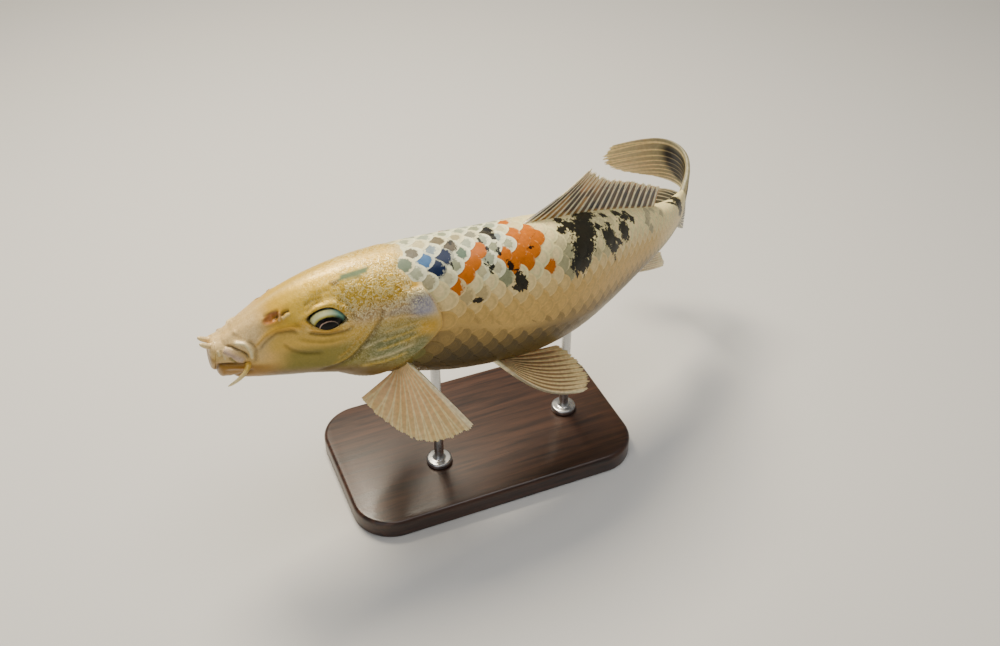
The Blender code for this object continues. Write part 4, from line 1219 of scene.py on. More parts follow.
def lines_between(strength: float, edge: Pair, reach: Triple) -> Dark:
    """Thin dark lines between the rays.

    Args:
        strength: How dark they are.
        edge: Where on the flank of a ray they are full, and where they end.
        reach: Where along the fin they begin and end, and how softly.
    """
    def dark(across: Array, along: Array, ray: Array) -> Array:
        """Black in the web."""
        return strength * (1 - ease(ray, *edge)) * window(along, *reach)
    return dark


def streaks(across: Array, along: Array, rays: int, seed: int) -> Array:
    """A repeatable number from 0 to 1 for each strip of web, changing slowly along it."""
    draw = np.random.default_rng(seed).uniform(0, 1, (rays + 2, 2))
    strip = np.clip(np.round(across * rays).astype(int), 0, rays)
    return 0.5 + 0.5 * np.sin(6.28 * (draw[strip, 0] + along * (0.4 + 1.1 * draw[strip, 1])))


def arc_through(*points: Sequence[float]) -> Callable[[Array], Array]:
    """A curve of three given points at 0, 1/2 and 1."""
    a, b, c = (np.array(p, float) for p in points)
    pull = 2 * b - (a + c) / 2

    def point(t: Array) -> Array:
        """Points of the curve."""
        t = np.asarray(t)[..., None]
        return a * (1 - t) ** 2 + pull * 2 * t * (1 - t) + c * t * t

    return point


@dataclass(frozen=True)
class MedianFins:
    """The sail on the back, the fin under the tail, and the two lobes of the tail."""

    dorsal: Pair = (0.482, 0.850)
    dorsal_rise: SmoothCurve = SmoothCurve((0.0, 0.12, 0.35, 0.7, 1.0), (0.070, 0.065, 0.053, 0.046, 0.038))
    dorsal_lean: SmoothCurve = SmoothCurve((0.0, 0.2, 0.45, 0.7, 1.0), (0.150, 0.095, 0.045, 0.026, 0.014))
    dorsal_rays: int = 19
    anal: Pair = (0.785, 0.845)
    # Lean and rise of the anal fin's first ray, and how much each changes to its last.
    anal_lean: Pair = (0.175, -0.090)
    anal_rise: Pair = (-0.042, 0.028)
    sunk: float = 0.006  # how deep the roots lie inside the body
    tail_root: float = 1.0  # station where the lobes of the tail begin
    lobe_rays: int = 9
    split: float = 0.0004 / 0.42
    root_half: float = 0.033
    arch: float = 0.041
    lobe_length: SmoothCurve = SmoothCurve((0.0, 0.3, 0.6, 0.85, 1.0), (0.120, 0.190, 0.232, 0.246, 0.236))
    lobe_spread: SmoothCurve = SmoothCurve((0.0, 0.3, 0.6, 0.85, 1.0), (0.010, 0.020, 0.036, 0.058, 0.080))

    def dorsal_sheet(self, across: Array, along: Array) -> Array:
        """Points of the sail."""
        root = self.dorsal[0] + (self.dorsal[1] - self.dorsal[0]) * across
        tip = root + self.dorsal_lean(across)
        low = FORM.back(root) - self.sunk
        high = FORM.back(root) + (FORM.back(tip) - FORM.back(root)) * 0.4 + self.dorsal_rise(across)
        return FORM.place(root + (tip - root) * along, low + (high - low) * along)

    def anal_sheet(self, across: Array, along: Array) -> Array:
        """Points of the fin under the tail."""
        root = self.anal[0] + (self.anal[1] - self.anal[0]) * across
        tip = root + self.anal_lean[0] + self.anal_lean[1] * across
        low = FORM.belly(root) + self.sunk
        high = FORM.belly(root) + self.anal_rise[0] + self.anal_rise[1] * across
        return FORM.place(root + (tip - root) * along, low + (high - low) * along)

    def lobe_sheet(self, side: float) -> Sheet:
        """Points of a lobe of the tail: side is 1 for the upper one and -1 for the lower."""
        def sheet(across: Array, along: Array) -> Array:
            """Points of the lobe."""
            across, along = np.clip(across, 0.0, 1.0), np.clip(along, 0.0, 1.001)
            root = self.split + (self.root_half - self.split) * across
            tip = self.split + self.lobe_spread(across)
            arch = self.arch * across ** 1.3 * np.sin(math.pi * along ** 0.9)
            station = self.tail_root + self.split + self.lobe_length(across) * along
            return FORM.place(station, side * (root + (tip - root) * along + arch))
        return sheet

    def dorsal_dark(self, across: Array, along: Array, ray: Array) -> Array:
        """Black webs toward the rear of the sail, a few streaks in front."""
        strip = streaks(across, along, self.dorsal_rays, 4)
        rear = ease(across, 0.34, 0.46) * window(along, 0.13, 0.93, 0.05) * (0.80 + 0.18 * strip)
        front = 0.85 * ease(strip, 0.45, 0.8) * window(along, 0.10, 0.75, 0.12) * (1 - ease(across, 0.3, 0.5))
        return (rear * (1 - ease(across, 0.95, 1.0)) + front) * (1 - ease(ray, 0.40, 0.75))

    def upper_dark(self, across: Array, along: Array, ray: Array) -> Array:
        """A black patch in the upper lobe's web near the root."""
        patch = window(across, 0.22, 0.94, 0.08) * window(along, 0.08, 0.52, 0.05)
        return patch * (1 - 0.25 * ease(ray, 0.5, 0.9)) + 0.08 * (1 - ray) * window(along, 0.5, 0.8, 0.1)

    def lower_dark(self, across: Array, along: Array, ray: Array) -> Array:
        """Dark stripes between the lower lobe's rays."""
        strip = streaks(across, along, self.lobe_rays, 8)
        return 0.95 * window(along, 0.05, 0.66, 0.10) * (0.6 + 0.4 * strip) * (1 - ease(ray, 0.35, 0.8))

    def fins(self) -> list[Fin]:
        """The fins in the fish's own middle surface."""
        lobe = {"rays": self.lobe_rays, "rows": 90, "cells": 22, "root": 4.0, "tip": 0.4, "ragged": 0.025,
                "web_tint": Tint.FIN_GREY, "clear": 0.22}
        return [
            Fin("dorsal", "dorsal_fin", self.dorsal_sheet, self.dorsal_rays, rows=40, cells=14, ray=1.3,
                ray_width=0.33, ragged=0.05, wave=(0.5, 2.2, 0.1), lead=0.6, ray_tint=Tint.FIN_WHITE,
                dark=self.dorsal_dark, clear=0.10),
            Fin("anal", "anal_fin", self.anal_sheet, 7, cells=14, ray=1.0, ragged=0.04, wave=(0.8, 1.0, 0.2),
                lead=0.6, ray_tint=Tint.FIN_WHITE, web_tint=Tint.FIN_CREAM,
                dark=lines_between(0.35, (0.03, 0.25), (0.2, 0.8, 0.15)), clear=0.12),
            Fin("tail_upper", "caudal_fin_upper", self.lobe_sheet(1.0), ray=0.7, lead=0.8,
                wave=(1.2, 1.3, 0.15), dark=self.upper_dark, **lobe),
            Fin("tail_lower", "caudal_fin_lower", self.lobe_sheet(-1.0), ray=0.8, lead=0.6,
                wave=(1.2, 1.3, 0.55), ray_tint=Tint.FIN_WHITE, dark=self.lower_dark, **lobe),
        ]


@dataclass(frozen=True)
class PairedFin:
    """The place and reach of a fin of the chest or belly.

    The tips are (back, out, down) from the root at the first, middle and last ray, and the
    arch is (out, down): how far the first ray bows, fading toward the last.
    """

    station: float
    angle: float
    root_run: Pair
    tips: Triples
    arch: Pair
    sunk: float = 0.002  # how deep its root lies inside the body, in metres

    def sheet(self, side: float) -> Sheet:
        """Points of the fin on the left (1) or on the right (-1)."""
        _, back, up, left = FORM.axes(np.array(self.station))
        out, curve = left * side, arc_through(*self.tips)

        def points(across: Array, along: Array) -> Array:
            """Points of the fin."""
            base = FORM.lifted(self.station + self.root_run[0] * across,
                               side * (self.angle + self.root_run[1] * across), -self.sunk + 0 * across)
            tip = curve(across)
            bow = (1 - across) * np.sin(math.pi * along)
            reach = back * (tip[..., 0] * along)[..., None]
            reach = reach + out * (tip[..., 1] * along + self.arch[0] * bow)[..., None]
            return base + (reach - up * (tip[..., 2] * along + self.arch[1] * bow)[..., None]) * FORM.length

        return points


@dataclass(frozen=True)
class PairedFins:
    """The fins of the chest and of the belly."""

    pectoral: PairedFin = PairedFin(0.292, 126.0, (-0.010, 16.0),
                                    ((0.080, 0.105, 0.060), (0.010, 0.080, 0.090), (-0.058, 0.005, 0.048)),
                                    (0.010, -0.004))
    pelvic: PairedFin = PairedFin(0.448, 152.0, (0.012, 12.0),
                                  ((0.160, 0.055, 0.060), (0.170, 0.024, 0.036), (0.130, -0.010, 0.004)),
                                  (0.014, 0.022))
    pelvic_folded: PairedFin = PairedFin(0.448, 152.0, (0.012, 12.0),
                                         ((0.172, 0.028, 0.000), (0.168, 0.010, -0.002),
                                          (0.130, -0.006, -0.004)), (0.006, 0.004))

    def fins(self) -> list[Fin]:
        """The fins of both sides."""
        fins = []
        for name, side, pelvic in (("left", 1.0, self.pelvic), ("right", -1.0, self.pelvic_folded)):
            fins += [
                Fin("pectoral_" + name, "pectoral_fin_" + name, self.pectoral.sheet(side), 11, rows=64,
                    cells=16, ray=0.5, wave=(1.8, 1.9, 0.1), lead=1.5, web_tint=Tint.FIN_PEACH,
                    dark=lines_between(0.10, (0.05, 0.2), (0.25, 0.95, 0.12)), clear=0.20),
                Fin("pelvic_" + name, "pelvic_fin_" + name, pelvic.sheet(side), 11, rows=64, cells=14,
                    ray_width=0.32, ragged=0.03, wave=(0.9, 1.2, 0.3), lead=0.9, web_tint=Tint.FIN_PEACH,
                    dark=lines_between(0.60, (0.02, 0.16), (0.18, 0.92, 0.12)), clear=0.12),
            ]
        return fins


# ---------------------------------------------------------------- eyes and feelers
@dataclass(frozen=True)
class Eyes:
    """The two eyeballs, each with its clear front bulging a little."""

    station: float = 0.163
    angle: float = 41.5
    radius: float = 12.0  # in mm
    longer: float = 1.12  # its length along the head over its height
    sink: float = 8.7  # how far the centre lies under the skin, in mm
    bulge: float = 0.4  # how far the clear front stands out, in mm
    bulge_reach: float = 0.62  # half angle of that front, in radians
    gaze_drop: float = 13.5  # degrees below level
    gaze_ahead: float = 4.0  # degrees ahead of straight out to the side
    rings: int = 48
    sides: int = 64

    def build(self, side: float, finish: Material) -> Object:
        """Make one eyeball, turned to look out and slightly down."""
        _, back, up, left = FORM.axes(np.array(self.station))
        out = FORM.outward(np.array(self.station), np.array(self.angle * side))
        centre = FORM.shell(self.station, self.angle * side) - out * self.sink * MM
        drop, ahead = math.radians(self.gaze_drop), math.radians(self.gaze_ahead)
        gaze = unit(left * side * math.cos(drop) - up * math.sin(drop) - back * math.sin(ahead))
        front_way = unit(-back + gaze * (back @ gaze))
        up_way = unit(np.cross(front_way, gaze) * side)
        tilt, turn = np.meshgrid(np.linspace(0, math.pi, self.rings + 1)[1:-1],
                                 2 * math.pi * np.arange(self.sides) / self.sides, indexing="ij")
        radius = (self.radius + self.bulge * np.exp(-(tilt / self.bulge_reach) ** 2)) * MM
        ring = np.cos(turn)[..., None] * front_way * self.longer + np.sin(turn)[..., None] * up_way
        ball = np.cos(tilt)[..., None] * gaze + np.sin(tilt)[..., None] * ring
        points = (centre + radius[..., None] * ball).reshape(-1, 3)
        poles = [centre + (self.radius + self.bulge) * MM * gaze, centre - self.radius * MM * gaze]
        eye = add_mesh("koi_eye_" + ("left" if side > 0 else "right"), np.vstack([points, poles]),
                       poled_faces(*tilt.shape))
        face_outward(eye)
        disc = np.stack([np.cos(turn) * tilt, np.sin(turn) * tilt, tilt], -1).reshape(-1, 3)
        store(eye, "iris", np.vstack([disc, [[0, 0, 0], [math.pi, 0, math.pi]]]))
        eye.data.materials.append(finish)
        return eye


@dataclass(frozen=True)
class Feelers:
    """The four soft feelers at the corners of the mouth."""

    # Angle of the root, aim (back, outward, up), length and radius in mm.
    front: tuple[float, Triple, float, float] = (38.0, (-0.86, 0.0, 0.50), 8.5, 2.0)
    rear: tuple[float, Triple, float, float] = (100.0, (-0.78, 0.05, -0.62), 18.5, 1.5)
    rear_station: float = 0.052
    inset: float = 0.75  # place of a front one on the lip's blunt face, 1 at its rim
    stand_off: Pair = (0.8, 1.0)  # how far the front and rear roots lie over the form, in mm
    bow: float = 0.9  # how strongly it leaves the skin before it turns to its aim
    taper: float = 0.5  # share of its radius that it loses by the tip
    depth: float = 1.6  # how far its root lies inside the skin, in mm
    sheen: float = 0.1  # how metallic it is, and how strongly lines show on it
    steps: int = 22
    sides: int = 12

    def root(self, front: bool, side: float) -> tuple[Array, Array]:
        """Where one leaves the skin, and the way straight out there."""
        if not front:
            place = np.array(self.rear_station), np.array(side * self.rear[0])
            way = FORM.outward(*place)
            return FORM.shell(*place) + way * self.stand_off[1] * MM, way
        middle = FORM.place(np.array(FORM.front), FORM.middle(FORM.front))
        rim = FORM.shell(FORM.front, side * self.front[0])
        way = -FORM.direction(np.array(FORM.front))
        return middle + (rim - middle) * self.inset + way * self.stand_off[0] * MM, way

    def path(self, front: bool, side: float) -> tuple[Array, Array]:
        """Points from inside the skin to the tip, curving toward the aim, and the radius at each in mm."""
        _, (back, outside, up), length, radius = self.front if front else self.rear
        aim = unit(np.array([back, -side * outside, up]))
        start, way = self.root(front, side)
        t = np.linspace(0, 1, self.steps)[:, None]
        line = start + length * MM * (way * t * (1 - t) * self.bow + aim * t * (1 + 3 * t) / 4)
        line = np.vstack([start - way * self.depth * MM, line])
        share = np.concatenate([[0.0], t[:, 0]])
        flare = 1 + 0.30 * (1 - ease(share, 0.0, 0.22))
        rounded = np.sqrt(np.clip((1.01 - share) / 0.12, 0.04, 1))
        return line, radius * flare * (1 - self.taper * share ** 2) * rounded

    def tree(self) -> tuple[Tree, dict[str, str]]:
        """The tree that sweeps a round section along a path, with the radius kept at its points."""
        tree, given, names = new_geometry_tree("sweep_feelers", {"Sides": "Int", "Finish": "Material"})
        node = partial(add_node, tree)
        radius = node("GeometryNodeInputNamedAttribute", {"Name": "radius_mm"}, data_type="FLOAT")
        metres = node("Math", {0: radius, 1: MM}, operation="MULTIPLY")
        line = node("GeometryNodeMeshToCurve", {"Mesh": given["Geometry"]})
        sized = node("GeometryNodeSetCurveRadius", {"Curve": line, "Radius": metres})
        circle = node("GeometryNodeCurvePrimitiveCircle", {"Resolution": given["Sides"], "Radius": 1.0})
        tube = node("GeometryNodeCurveToMesh", {"Curve": sized, "Profile Curve": circle, "Scale": metres,
                                                "Fill Caps": True})
        real = node("GeometryNodeRealizeInstances", {"Geometry": tube})
        close_tree(tree, real, given["Finish"])
        return tree, names

    def build(self, finish: Material) -> Object:
        """Make all four as one mesh."""
        paths, radii, edges, colours = [], [], [], []
        for front, tint, paler in ((True, Tint.SNOUT_PINK, 0.45), (False, Tint.CHEEK_GOLD, 0.9)):
            for side in (1.0, -1.0):
                line, radius = self.path(front, side)
                first = sum(len(p) for p in paths)
                edges += [(first + k, first + k + 1) for k in range(len(line) - 1)]
                paths.append(line)
                radii.append(radius)
                share = ease(np.linspace(0, 1, len(line)), 0.1, 0.8)[:, None] * paler
                colours.append(blend(tint.rgb, Tint.FOLD_WHITE.rgb, share))
        lines = add_mesh("feeler_lines", np.vstack(paths), [], edges=edges)
        store(lines, "radius_mm", np.concatenate(radii))
        store(lines, "tint", opaque(np.vstack(colours)))
        for name, value in (("gleam", self.sheen), ("mottle", self.sheen), ("soot", MARKINGS.far)):
            store(lines, name, np.full(len(lines.data.vertices), value))
        tree, names = self.tree()
        return grown(lines, tree, {names["Sides"]: self.sides, names["Finish"]: finish}, "koi_feelers")


# ---------------------------------------------------------------- display stand
@dataclass(frozen=True)
class Stand:
    """A stained wood base with two turned steel rods."""

    size: Triple = (0.22, 0.13, 0.014)
    corner: float = 0.030
    round_edge: float = 0.0030  # radius of the base's upper edge
    fine_edge: float = 0.0006  # bevel of its lower edge
    rod_radius: float = 0.0035
    rod_depth: float = 0.007
    rod_bevel: Pair = (0.0006, 0.001)  # across and along, at its upper end
    collar_radius: float = 0.0095
    collar_height: float = 0.004
    collar_bevel: float = 0.0004
    collar_round: float = 0.0016
    fillet: float = 0.0018  # between collar and rod
    gap: float = 0.0004
    rods: tuple[tuple[str, float], ...] = (("front", 0.35), ("rear", 0.62))
    sides: int = 56

    def outline(self, inset: float, height: float) -> Array:
        """The base's outline at a height, drawn in by an inset."""
        radius = self.corner - inset
        points = []
        for sx, sy, start in ((1, 1, 0), (-1, 1, 90), (-1, -1, 180), (1, -1, 270)):
            turn = np.radians(start + np.linspace(0, 90, 15))
            x = sx * (self.size[0] / 2 - self.corner) + radius * np.cos(turn)
            y = sy * (self.size[1] / 2 - self.corner) + radius * np.sin(turn)
            points.append(np.stack([x, y, np.full_like(x, height)], -1))
        return np.vstack(points)

    def stack(self, name: str, rings: list[Array], sharp: float, finish: Material) -> Object:
        """Make one closed piece from rings of points, with edges sharp above an angle in degrees."""
        piece = add_mesh(name, np.vstack(rings), capped_faces(len(rings), len(rings[0])))
        piece.data.set_sharp_from_angle(angle=math.radians(sharp))
        piece.data.materials.append(finish)
        return piece

    def base(self, finish: Material) -> Object:
        """Make the base with a rounded upper edge and a fine lower one."""
        rings = [self.outline(self.fine_edge, 0.0), self.outline(0.0, self.fine_edge)]
        rings += [self.outline(self.round_edge * (1 - math.cos(t)),
                               self.size[2] - self.round_edge * (1 - math.sin(t)))
                  for t in np.linspace(0, math.pi / 2, 7)]
        return self.stack("display_base", rings, 40, finish)

    def rod(self, name: str, station: float, finish: Material) -> Object:
        """Make a rod with a filleted collar at its foot, which goes up into the belly."""
        foot = FORM.axes(np.array(station))[0]
        top = float(FORM.shell(station, 180.0)[2]) + self.rod_depth
        low = self.size[2] + self.gap
        high = low + self.collar_height
        radius, bevel, curve, fillet = self.collar_radius, self.collar_bevel, self.collar_round, self.fillet
        profile = [(radius - bevel, low), (radius, low + bevel), (radius, high - curve)]
        profile += [(radius - curve * (1 - math.cos(t)), high - curve * (1 - math.sin(t)))
                    for t in np.linspace(0.2, math.pi / 2, 6)]
        profile += [(self.rod_radius + fillet * (1 - math.sin(t)), high + fillet * (1 - math.cos(t)))
                    for t in np.linspace(0.0, math.pi / 2, 6)]
        profile += [(self.rod_radius, top - self.rod_bevel[1]), (self.rod_radius - self.rod_bevel[0], top)]
        turn = 2 * math.pi * np.arange(self.sides) / self.sides
        rings = [np.stack([foot[0] + r * np.cos(turn), foot[1] + r * np.sin(turn), np.full_like(turn, z)], -1)
                 for r, z in profile]
        return self.stack("display_rod_" + name, rings, 35, finish)


# ---------------------------------------------------------------- finishes
class Finish:
    """A material named for a real surface."""

    name = "finish"

    def build(self) -> Material:
        """Make the material and set its nodes."""
        material = bpy.data.materials.new(self.name)
        material.use_nodes = True
        tree = material.node_tree
        self.dress(partial(add_node, tree), tree.nodes["Principled BSDF"])
        return material

    def dress(self, node: Adder, shader: Node) -> None:
        """Add the finish's own nodes."""
        raise NotImplementedError

    @staticmethod
    def clouded(node: Adder, colour: Socket, grain: Socket, dark: float, bright: float) -> Socket:
        """A colour that a grain varies between a dark and a bright share of itself."""
        cloud = node("MapRange", {"Value": grain, "From Min": 0.3, "From Max": 0.7, "To Min": dark,
                                  "To Max": bright})
        return node("Mix", {"Factor": 1.0, 6: colour, 7: cloud}, 2, data_type="RGBA", blend_type="MULTIPLY")

    @staticmethod
    def give(shader: Node, **values: object) -> None:
        """Link each socket that gets a pattern, and set each one that is the same all over the surface."""
        for name, value in values.items():
            socket = shader.inputs[name.replace("_", " ")]
            if isinstance(value, Socket):
                shader.id_data.links.new(value, socket)
            else:
                socket.default_value = value


@dataclass(frozen=True)
class WetSkin(Finish):
    """Wet, slime-coated fish skin over bone: satin, with a metallic gold cast and winding gold lines along
    its wrinkles, partly painted shade and highlight.
    """

    name: str = "wet_fish_skin"
    pore: float = 900.0  # pores and freckles about 1 mm apart
    thread: float = 330.0  # winding lines about 3 mm apart
    # Level of the thread noise that a line follows, its half width there, strength and colour: the dark line
    # lies lower on the wrinkles as partly painted shade, the pale one higher as partly painted highlight.
    lines: tuple[tuple[float, float, float, str], ...] = ((0.43, 0.050, 0.66, "#6A4A10"),
                                                          (0.54, 0.052, 0.95, "#FFF3BC"))
    soot_edge: Triple = (2.46, 2.32, 0.97)  # where black begins, is full, and how full
    soot_ragged: float = 2.6  # how strongly the grain breaks its edge

    def dress(self, node: Adder, shader: Node) -> None:
        """Lay dark and bright winding lines over the stored colour, partly painted shade and highlight on the
        wrinkles, and wrinkle the surface.
        """
        place = node("TexCoord", out="Object")
        colour = node("Attribute", out="Color", attribute_name="tint")
        mottle, gleam = (node("Attribute", out="Fac", attribute_name=name) for name in ("mottle", "gleam"))
        thread = node("TexNoise", {"Vector": place, "Scale": self.thread, "Detail": 3.0, "Roughness": 0.6,
                                   "Distortion": 1.8})
        fine = node("TexNoise", {"Vector": place, "Scale": self.pore, "Detail": 3.0})
        for level, reach, most, code in self.lines:
            away = node("Math", {0: thread, 1: level}, operation="SUBTRACT")
            gap = node("Math", {0: away}, operation="ABSOLUTE")
            line = node("MapRange", {"Value": gap, "From Min": reach, "From Max": 0.0, "To Max": most})
            amount = node("Math", {0: line, 1: mottle}, operation="MULTIPLY")
            colour = node("Mix", {"Factor": amount, 6: colour, 7: rgba(code)}, 2, data_type="RGBA")
        colour = self.sooted(node, self.clouded(node, colour, fine, 0.90, 1.08), fine)
        strong = node("MapRange", {"Value": mottle, "To Min": 0.05, "To Max": 0.70})
        rough = node("Bump", {"Strength": strong, "Distance": 0.0011, "Height": thread})
        bump = node("Bump", {"Strength": 0.22, "Distance": 0.0003, "Height": fine, "Normal": rough})
        self.give(shader, Base_Color=colour, Metallic=gleam, Normal=bump, Roughness=0.40, Coat_Weight=0.22,
                  Coat_Roughness=0.14, IOR=1.38)

    def sooted(self, node: Adder, colour: Socket, grain: Socket) -> Socket:
        """Lay the ragged black patches over a colour."""
        soot = node("Attribute", out="Fac", attribute_name="soot")
        near = node("Math", {0: grain, 1: self.soot_ragged, 2: soot}, operation="MULTIPLY_ADD")
        start, full, most = self.soot_edge
        amount = node("MapRange", {"Value": near, "From Min": start, "From Max": full, "To Max": most})
        black = rgba(Tint.BLACK.value)
        return node("Mix", {"Factor": amount, 6: colour, 7: black}, 2, data_type="RGBA")


@dataclass(frozen=True)
class ScaleHorn(WetSkin):
    """Horny scales in wet skin: a spot of pigment under clear horn, with fine growth rings."""

    name: str = "wet_fish_scale"
    grain: float = 420.0  # flecks of pigment about 2.4 mm apart
    spot: Pair = (0.35, 0.58)  # half length and half breadth of the spot of pigment
    spot_at: float = 0.34  # where its middle lies on the leaf, from -1 to 1
    spot_edge: Pair = (1.70, 1.86)  # where it ends, with the grain added
    ragged: float = 1.6  # how strongly the grain breaks its edge
    line: Pair = (0.78, 0.92)  # where the pale line round the leaf begins and is full
    inside: float = 0.84  # brightness inside that line
    rings: float = 60.0  # growth rings about a millimetre apart

    def dress(self, node: Adder, shader: Node) -> None:
        """Set a ragged spot of colour in each scale's rim colour, and add growth rings and grain."""
        place = node("TexCoord", out="Object")
        leaf, tint, rim, spread = (
            node("Attribute", out=out, attribute_name=name)
            for name, out in (("leaf", "Vector"), ("tint", "Color"), ("rim", "Color"), ("spread", "Fac")))
        grain = node("TexNoise", {"Vector": place, "Scale": self.grain, "Detail": 4.0, "Roughness": 0.65})
        moved = node("VectorMath", {0: leaf, 1: (self.spot_at, 0.0, 0.0)}, operation="SUBTRACT")
        sized = node("VectorMath", {0: moved, 1: (1 / self.spot[0], 1 / self.spot[1], 0.0)},
                     operation="MULTIPLY")
        reach = node("VectorMath", {0: sized}, "Value", operation="LENGTH")
        share = node("Math", {0: reach, 1: spread}, operation="DIVIDE")
        ragged = node("Math", {0: grain, 1: self.ragged, 2: share}, operation="MULTIPLY_ADD")
        edge = node("MapRange", {"Value": ragged, "From Min": self.spot_edge[0],
                                 "From Max": self.spot_edge[1]})
        across = node("VectorMath", {0: leaf}, "Value", operation="LENGTH")
        line = node("MapRange", {"Value": across, "From Min": self.line[0], "From Max": self.line[1],
                                 "To Min": self.inside})
        field = node("Mix", {"Factor": 1.0, 6: rim, 7: line}, 2, data_type="RGBA", blend_type="MULTIPLY")
        colour = node("Mix", {"Factor": edge, 6: tint, 7: field}, 2, data_type="RGBA")
        colour = self.sooted(node, self.clouded(node, colour, grain, 0.82, 1.10), grain)
        turns = node("Math", {0: across, 1: self.rings}, operation="MULTIPLY")
        wave = node("Math", {0: turns}, operation="SINE")
        height = node("Math", {0: grain, 1: 4.0, 2: wave}, operation="MULTIPLY_ADD")
        bump = node("Bump", {"Strength": 0.18, "Distance": 0.0002, "Height": height})
        self.give(shader, Base_Color=colour, Normal=bump, Roughness=0.38, Coat_Weight=0.15,
                  Coat_Roughness=0.15, IOR=1.35)


@dataclass(frozen=True)
class FinWeb(Finish):
    """Thin fin web on bony rays: soft, slightly see-through, with a satin wet surface."""

    name: str = "fin_web_and_rays"
    grain: float = 420.0  # flecks of pigment about 2.4 mm apart

    def dress(self, node: Adder, shader: Node) -> None:
        """Use the stored colours with a faint pigment grain, and let light through the thin web."""
        place = node("TexCoord", out="Object")
        grain = node("TexNoise", {"Vector": place, "Scale": self.grain, "Detail": 3.0})
        tint = node("Attribute", out="Color", attribute_name="tint")
        clear = node("Attribute", out="Fac", attribute_name="clear")
        solid = node("Math", {0: 1.0, 1: clear}, operation="SUBTRACT")
        bump = node("Bump", {"Strength": 0.2, "Distance": 0.0003, "Height": grain})
        self.give(shader, Base_Color=self.clouded(node, tint, grain, 0.82, 1.12), Alpha=solid, Normal=bump,
                  Roughness=0.42, Coat_Weight=0.25, Coat_Roughness=0.2, Subsurface_Weight=0.25,
                  Subsurface_Radius=(0.9, 0.6, 0.4), Subsurface_Scale=0.002)


@dataclass(frozen=True)
class EyeGloss(Finish):
    """A wet eyeball: black pupil with a thin pale ring, iris yellow ahead and green behind, its bright yellow
    and teal bands partly a painted reflection.
    """

    name: str = "wet_eyeball"
    # Rings from the middle of the pupil: angle from the gaze and colour, ahead and behind. The bright yellow
    # and teal bands are partly painted reflection.
    ahead: tuple[tuple[float, str], ...] = (
        (0.00, "#030303"), (0.455, "#030303"), (0.475, "#E3C4AE"), (0.505, "#A88474"), (0.53, "#0B0806"),
        (0.70, "#120D08"), (0.76, "#C8B848"), (0.88, "#FFFBB8"), (1.06, "#FFF4A0"), (1.14, "#1C2012"))
    behind: tuple[tuple[float, str], ...] = (
        (0.00, "#030303"), (0.455, "#030303"), (0.475, "#5E5648"), (0.505, "#2A261E"), (0.53, "#0A0907"),
        (0.70, "#0D120E"), (0.78, "#35594F"), (0.90, "#8FBFA4"), (1.06, "#5E938C"), (1.14, "#16241E"))
    span: float = 1.6  # angle at which the rings' scale ends

    def dress(self, node: Adder, shader: Node) -> None:
        """Ring the iris round the pupil, with radial flecks and bands that are partly painted reflection."""
        iris = node("Attribute", out="Vector", attribute_name="iris")
        parts = node("SeparateXYZ", {0: iris}, None).outputs
        streak = node("TexNoise", {"Vector": iris, "Scale": 7.0, "Detail": 3.0, "Distortion": 0.6})
        wobble = node("Math", {0: streak, 1: 0.06, 2: parts["Z"]}, operation="MULTIPLY_ADD")
        ring = node("MapRange", {"Value": wobble, "From Max": self.span})
        bands = []
        for rings in (self.ahead, self.behind):
            bands.append(node("ValToRGB", {"Fac": ring}, "Color"))
            stops = bands[-1].node.color_ramp.elements
            while len(stops) < len(rings):
                stops.new(0.5)
            for stop, (where, code) in zip(stops, rings):
                stop.position, stop.color = where / self.span, rgba(code)
        rearward = node("MapRange", {"Value": parts["X"], "From Min": 0.35, "From Max": -0.45})
        broken = node("Math", {0: streak, 1: 0.5, 2: rearward}, operation="MULTIPLY_ADD")
        share = node("MapRange", {"Value": broken, "From Min": 0.15, "From Max": 1.25})
        colour = node("Mix", {"Factor": share, 6: bands[0], 7: bands[1]}, 2, data_type="RGBA")
        self.give(shader, Base_Color=colour, Roughness=0.22, Coat_Weight=0.15, Coat_Roughness=0.02, IOR=1.18)


@dataclass(frozen=True)
class StainedWood(Finish):
    """Dark stained, close-grained hardwood with a satin varnish."""

    name: str = "stained_hardwood"
    grain: float = 240.0  # grain lines about 4 mm apart across the board
    pore: float = 1500.0  # pores under a millimetre wide
    stain: tuple[tuple[float, str], ...] = ((0.34, "#24140C"), (0.66, "#4A2C1A"))

    def dress(self, node: Adder, shader: Node) -> None:
        """Run the grain along the base and open fine pores in it."""
        place = node("TexCoord", out="Object")
        drawn, thin = (node("Mapping", {"Vector": place, "Scale": (stretch, 1.0, 1.0)})
                       for stretch in (0.06, 0.03))
        grain = node("TexNoise", {"Vector": drawn, "Scale": self.grain, "Detail": 5.0, "Roughness": 0.6,
                                  "Distortion": 0.8})
        colour = node("ValToRGB", {"Fac": grain}, "Color")
        for stop, (where, code) in zip(colour.node.color_ramp.elements, self.stain):
            stop.position, stop.color = where, rgba(code)
        pore = node("TexNoise", {"Vector": thin, "Scale": self.pore, "Detail": 2.0})
        bump = node("Bump", {"Strength": 0.25, "Distance": 0.0002, "Height": pore})
        gloss = node("MapRange", {"Value": grain, "To Min": 0.30, "To Max": 0.46})
        self.give(shader, Base_Color=colour, Roughness=gloss, Normal=bump, Coat_Weight=0.3,
                  Coat_Roughness=0.18, IOR=1.5)


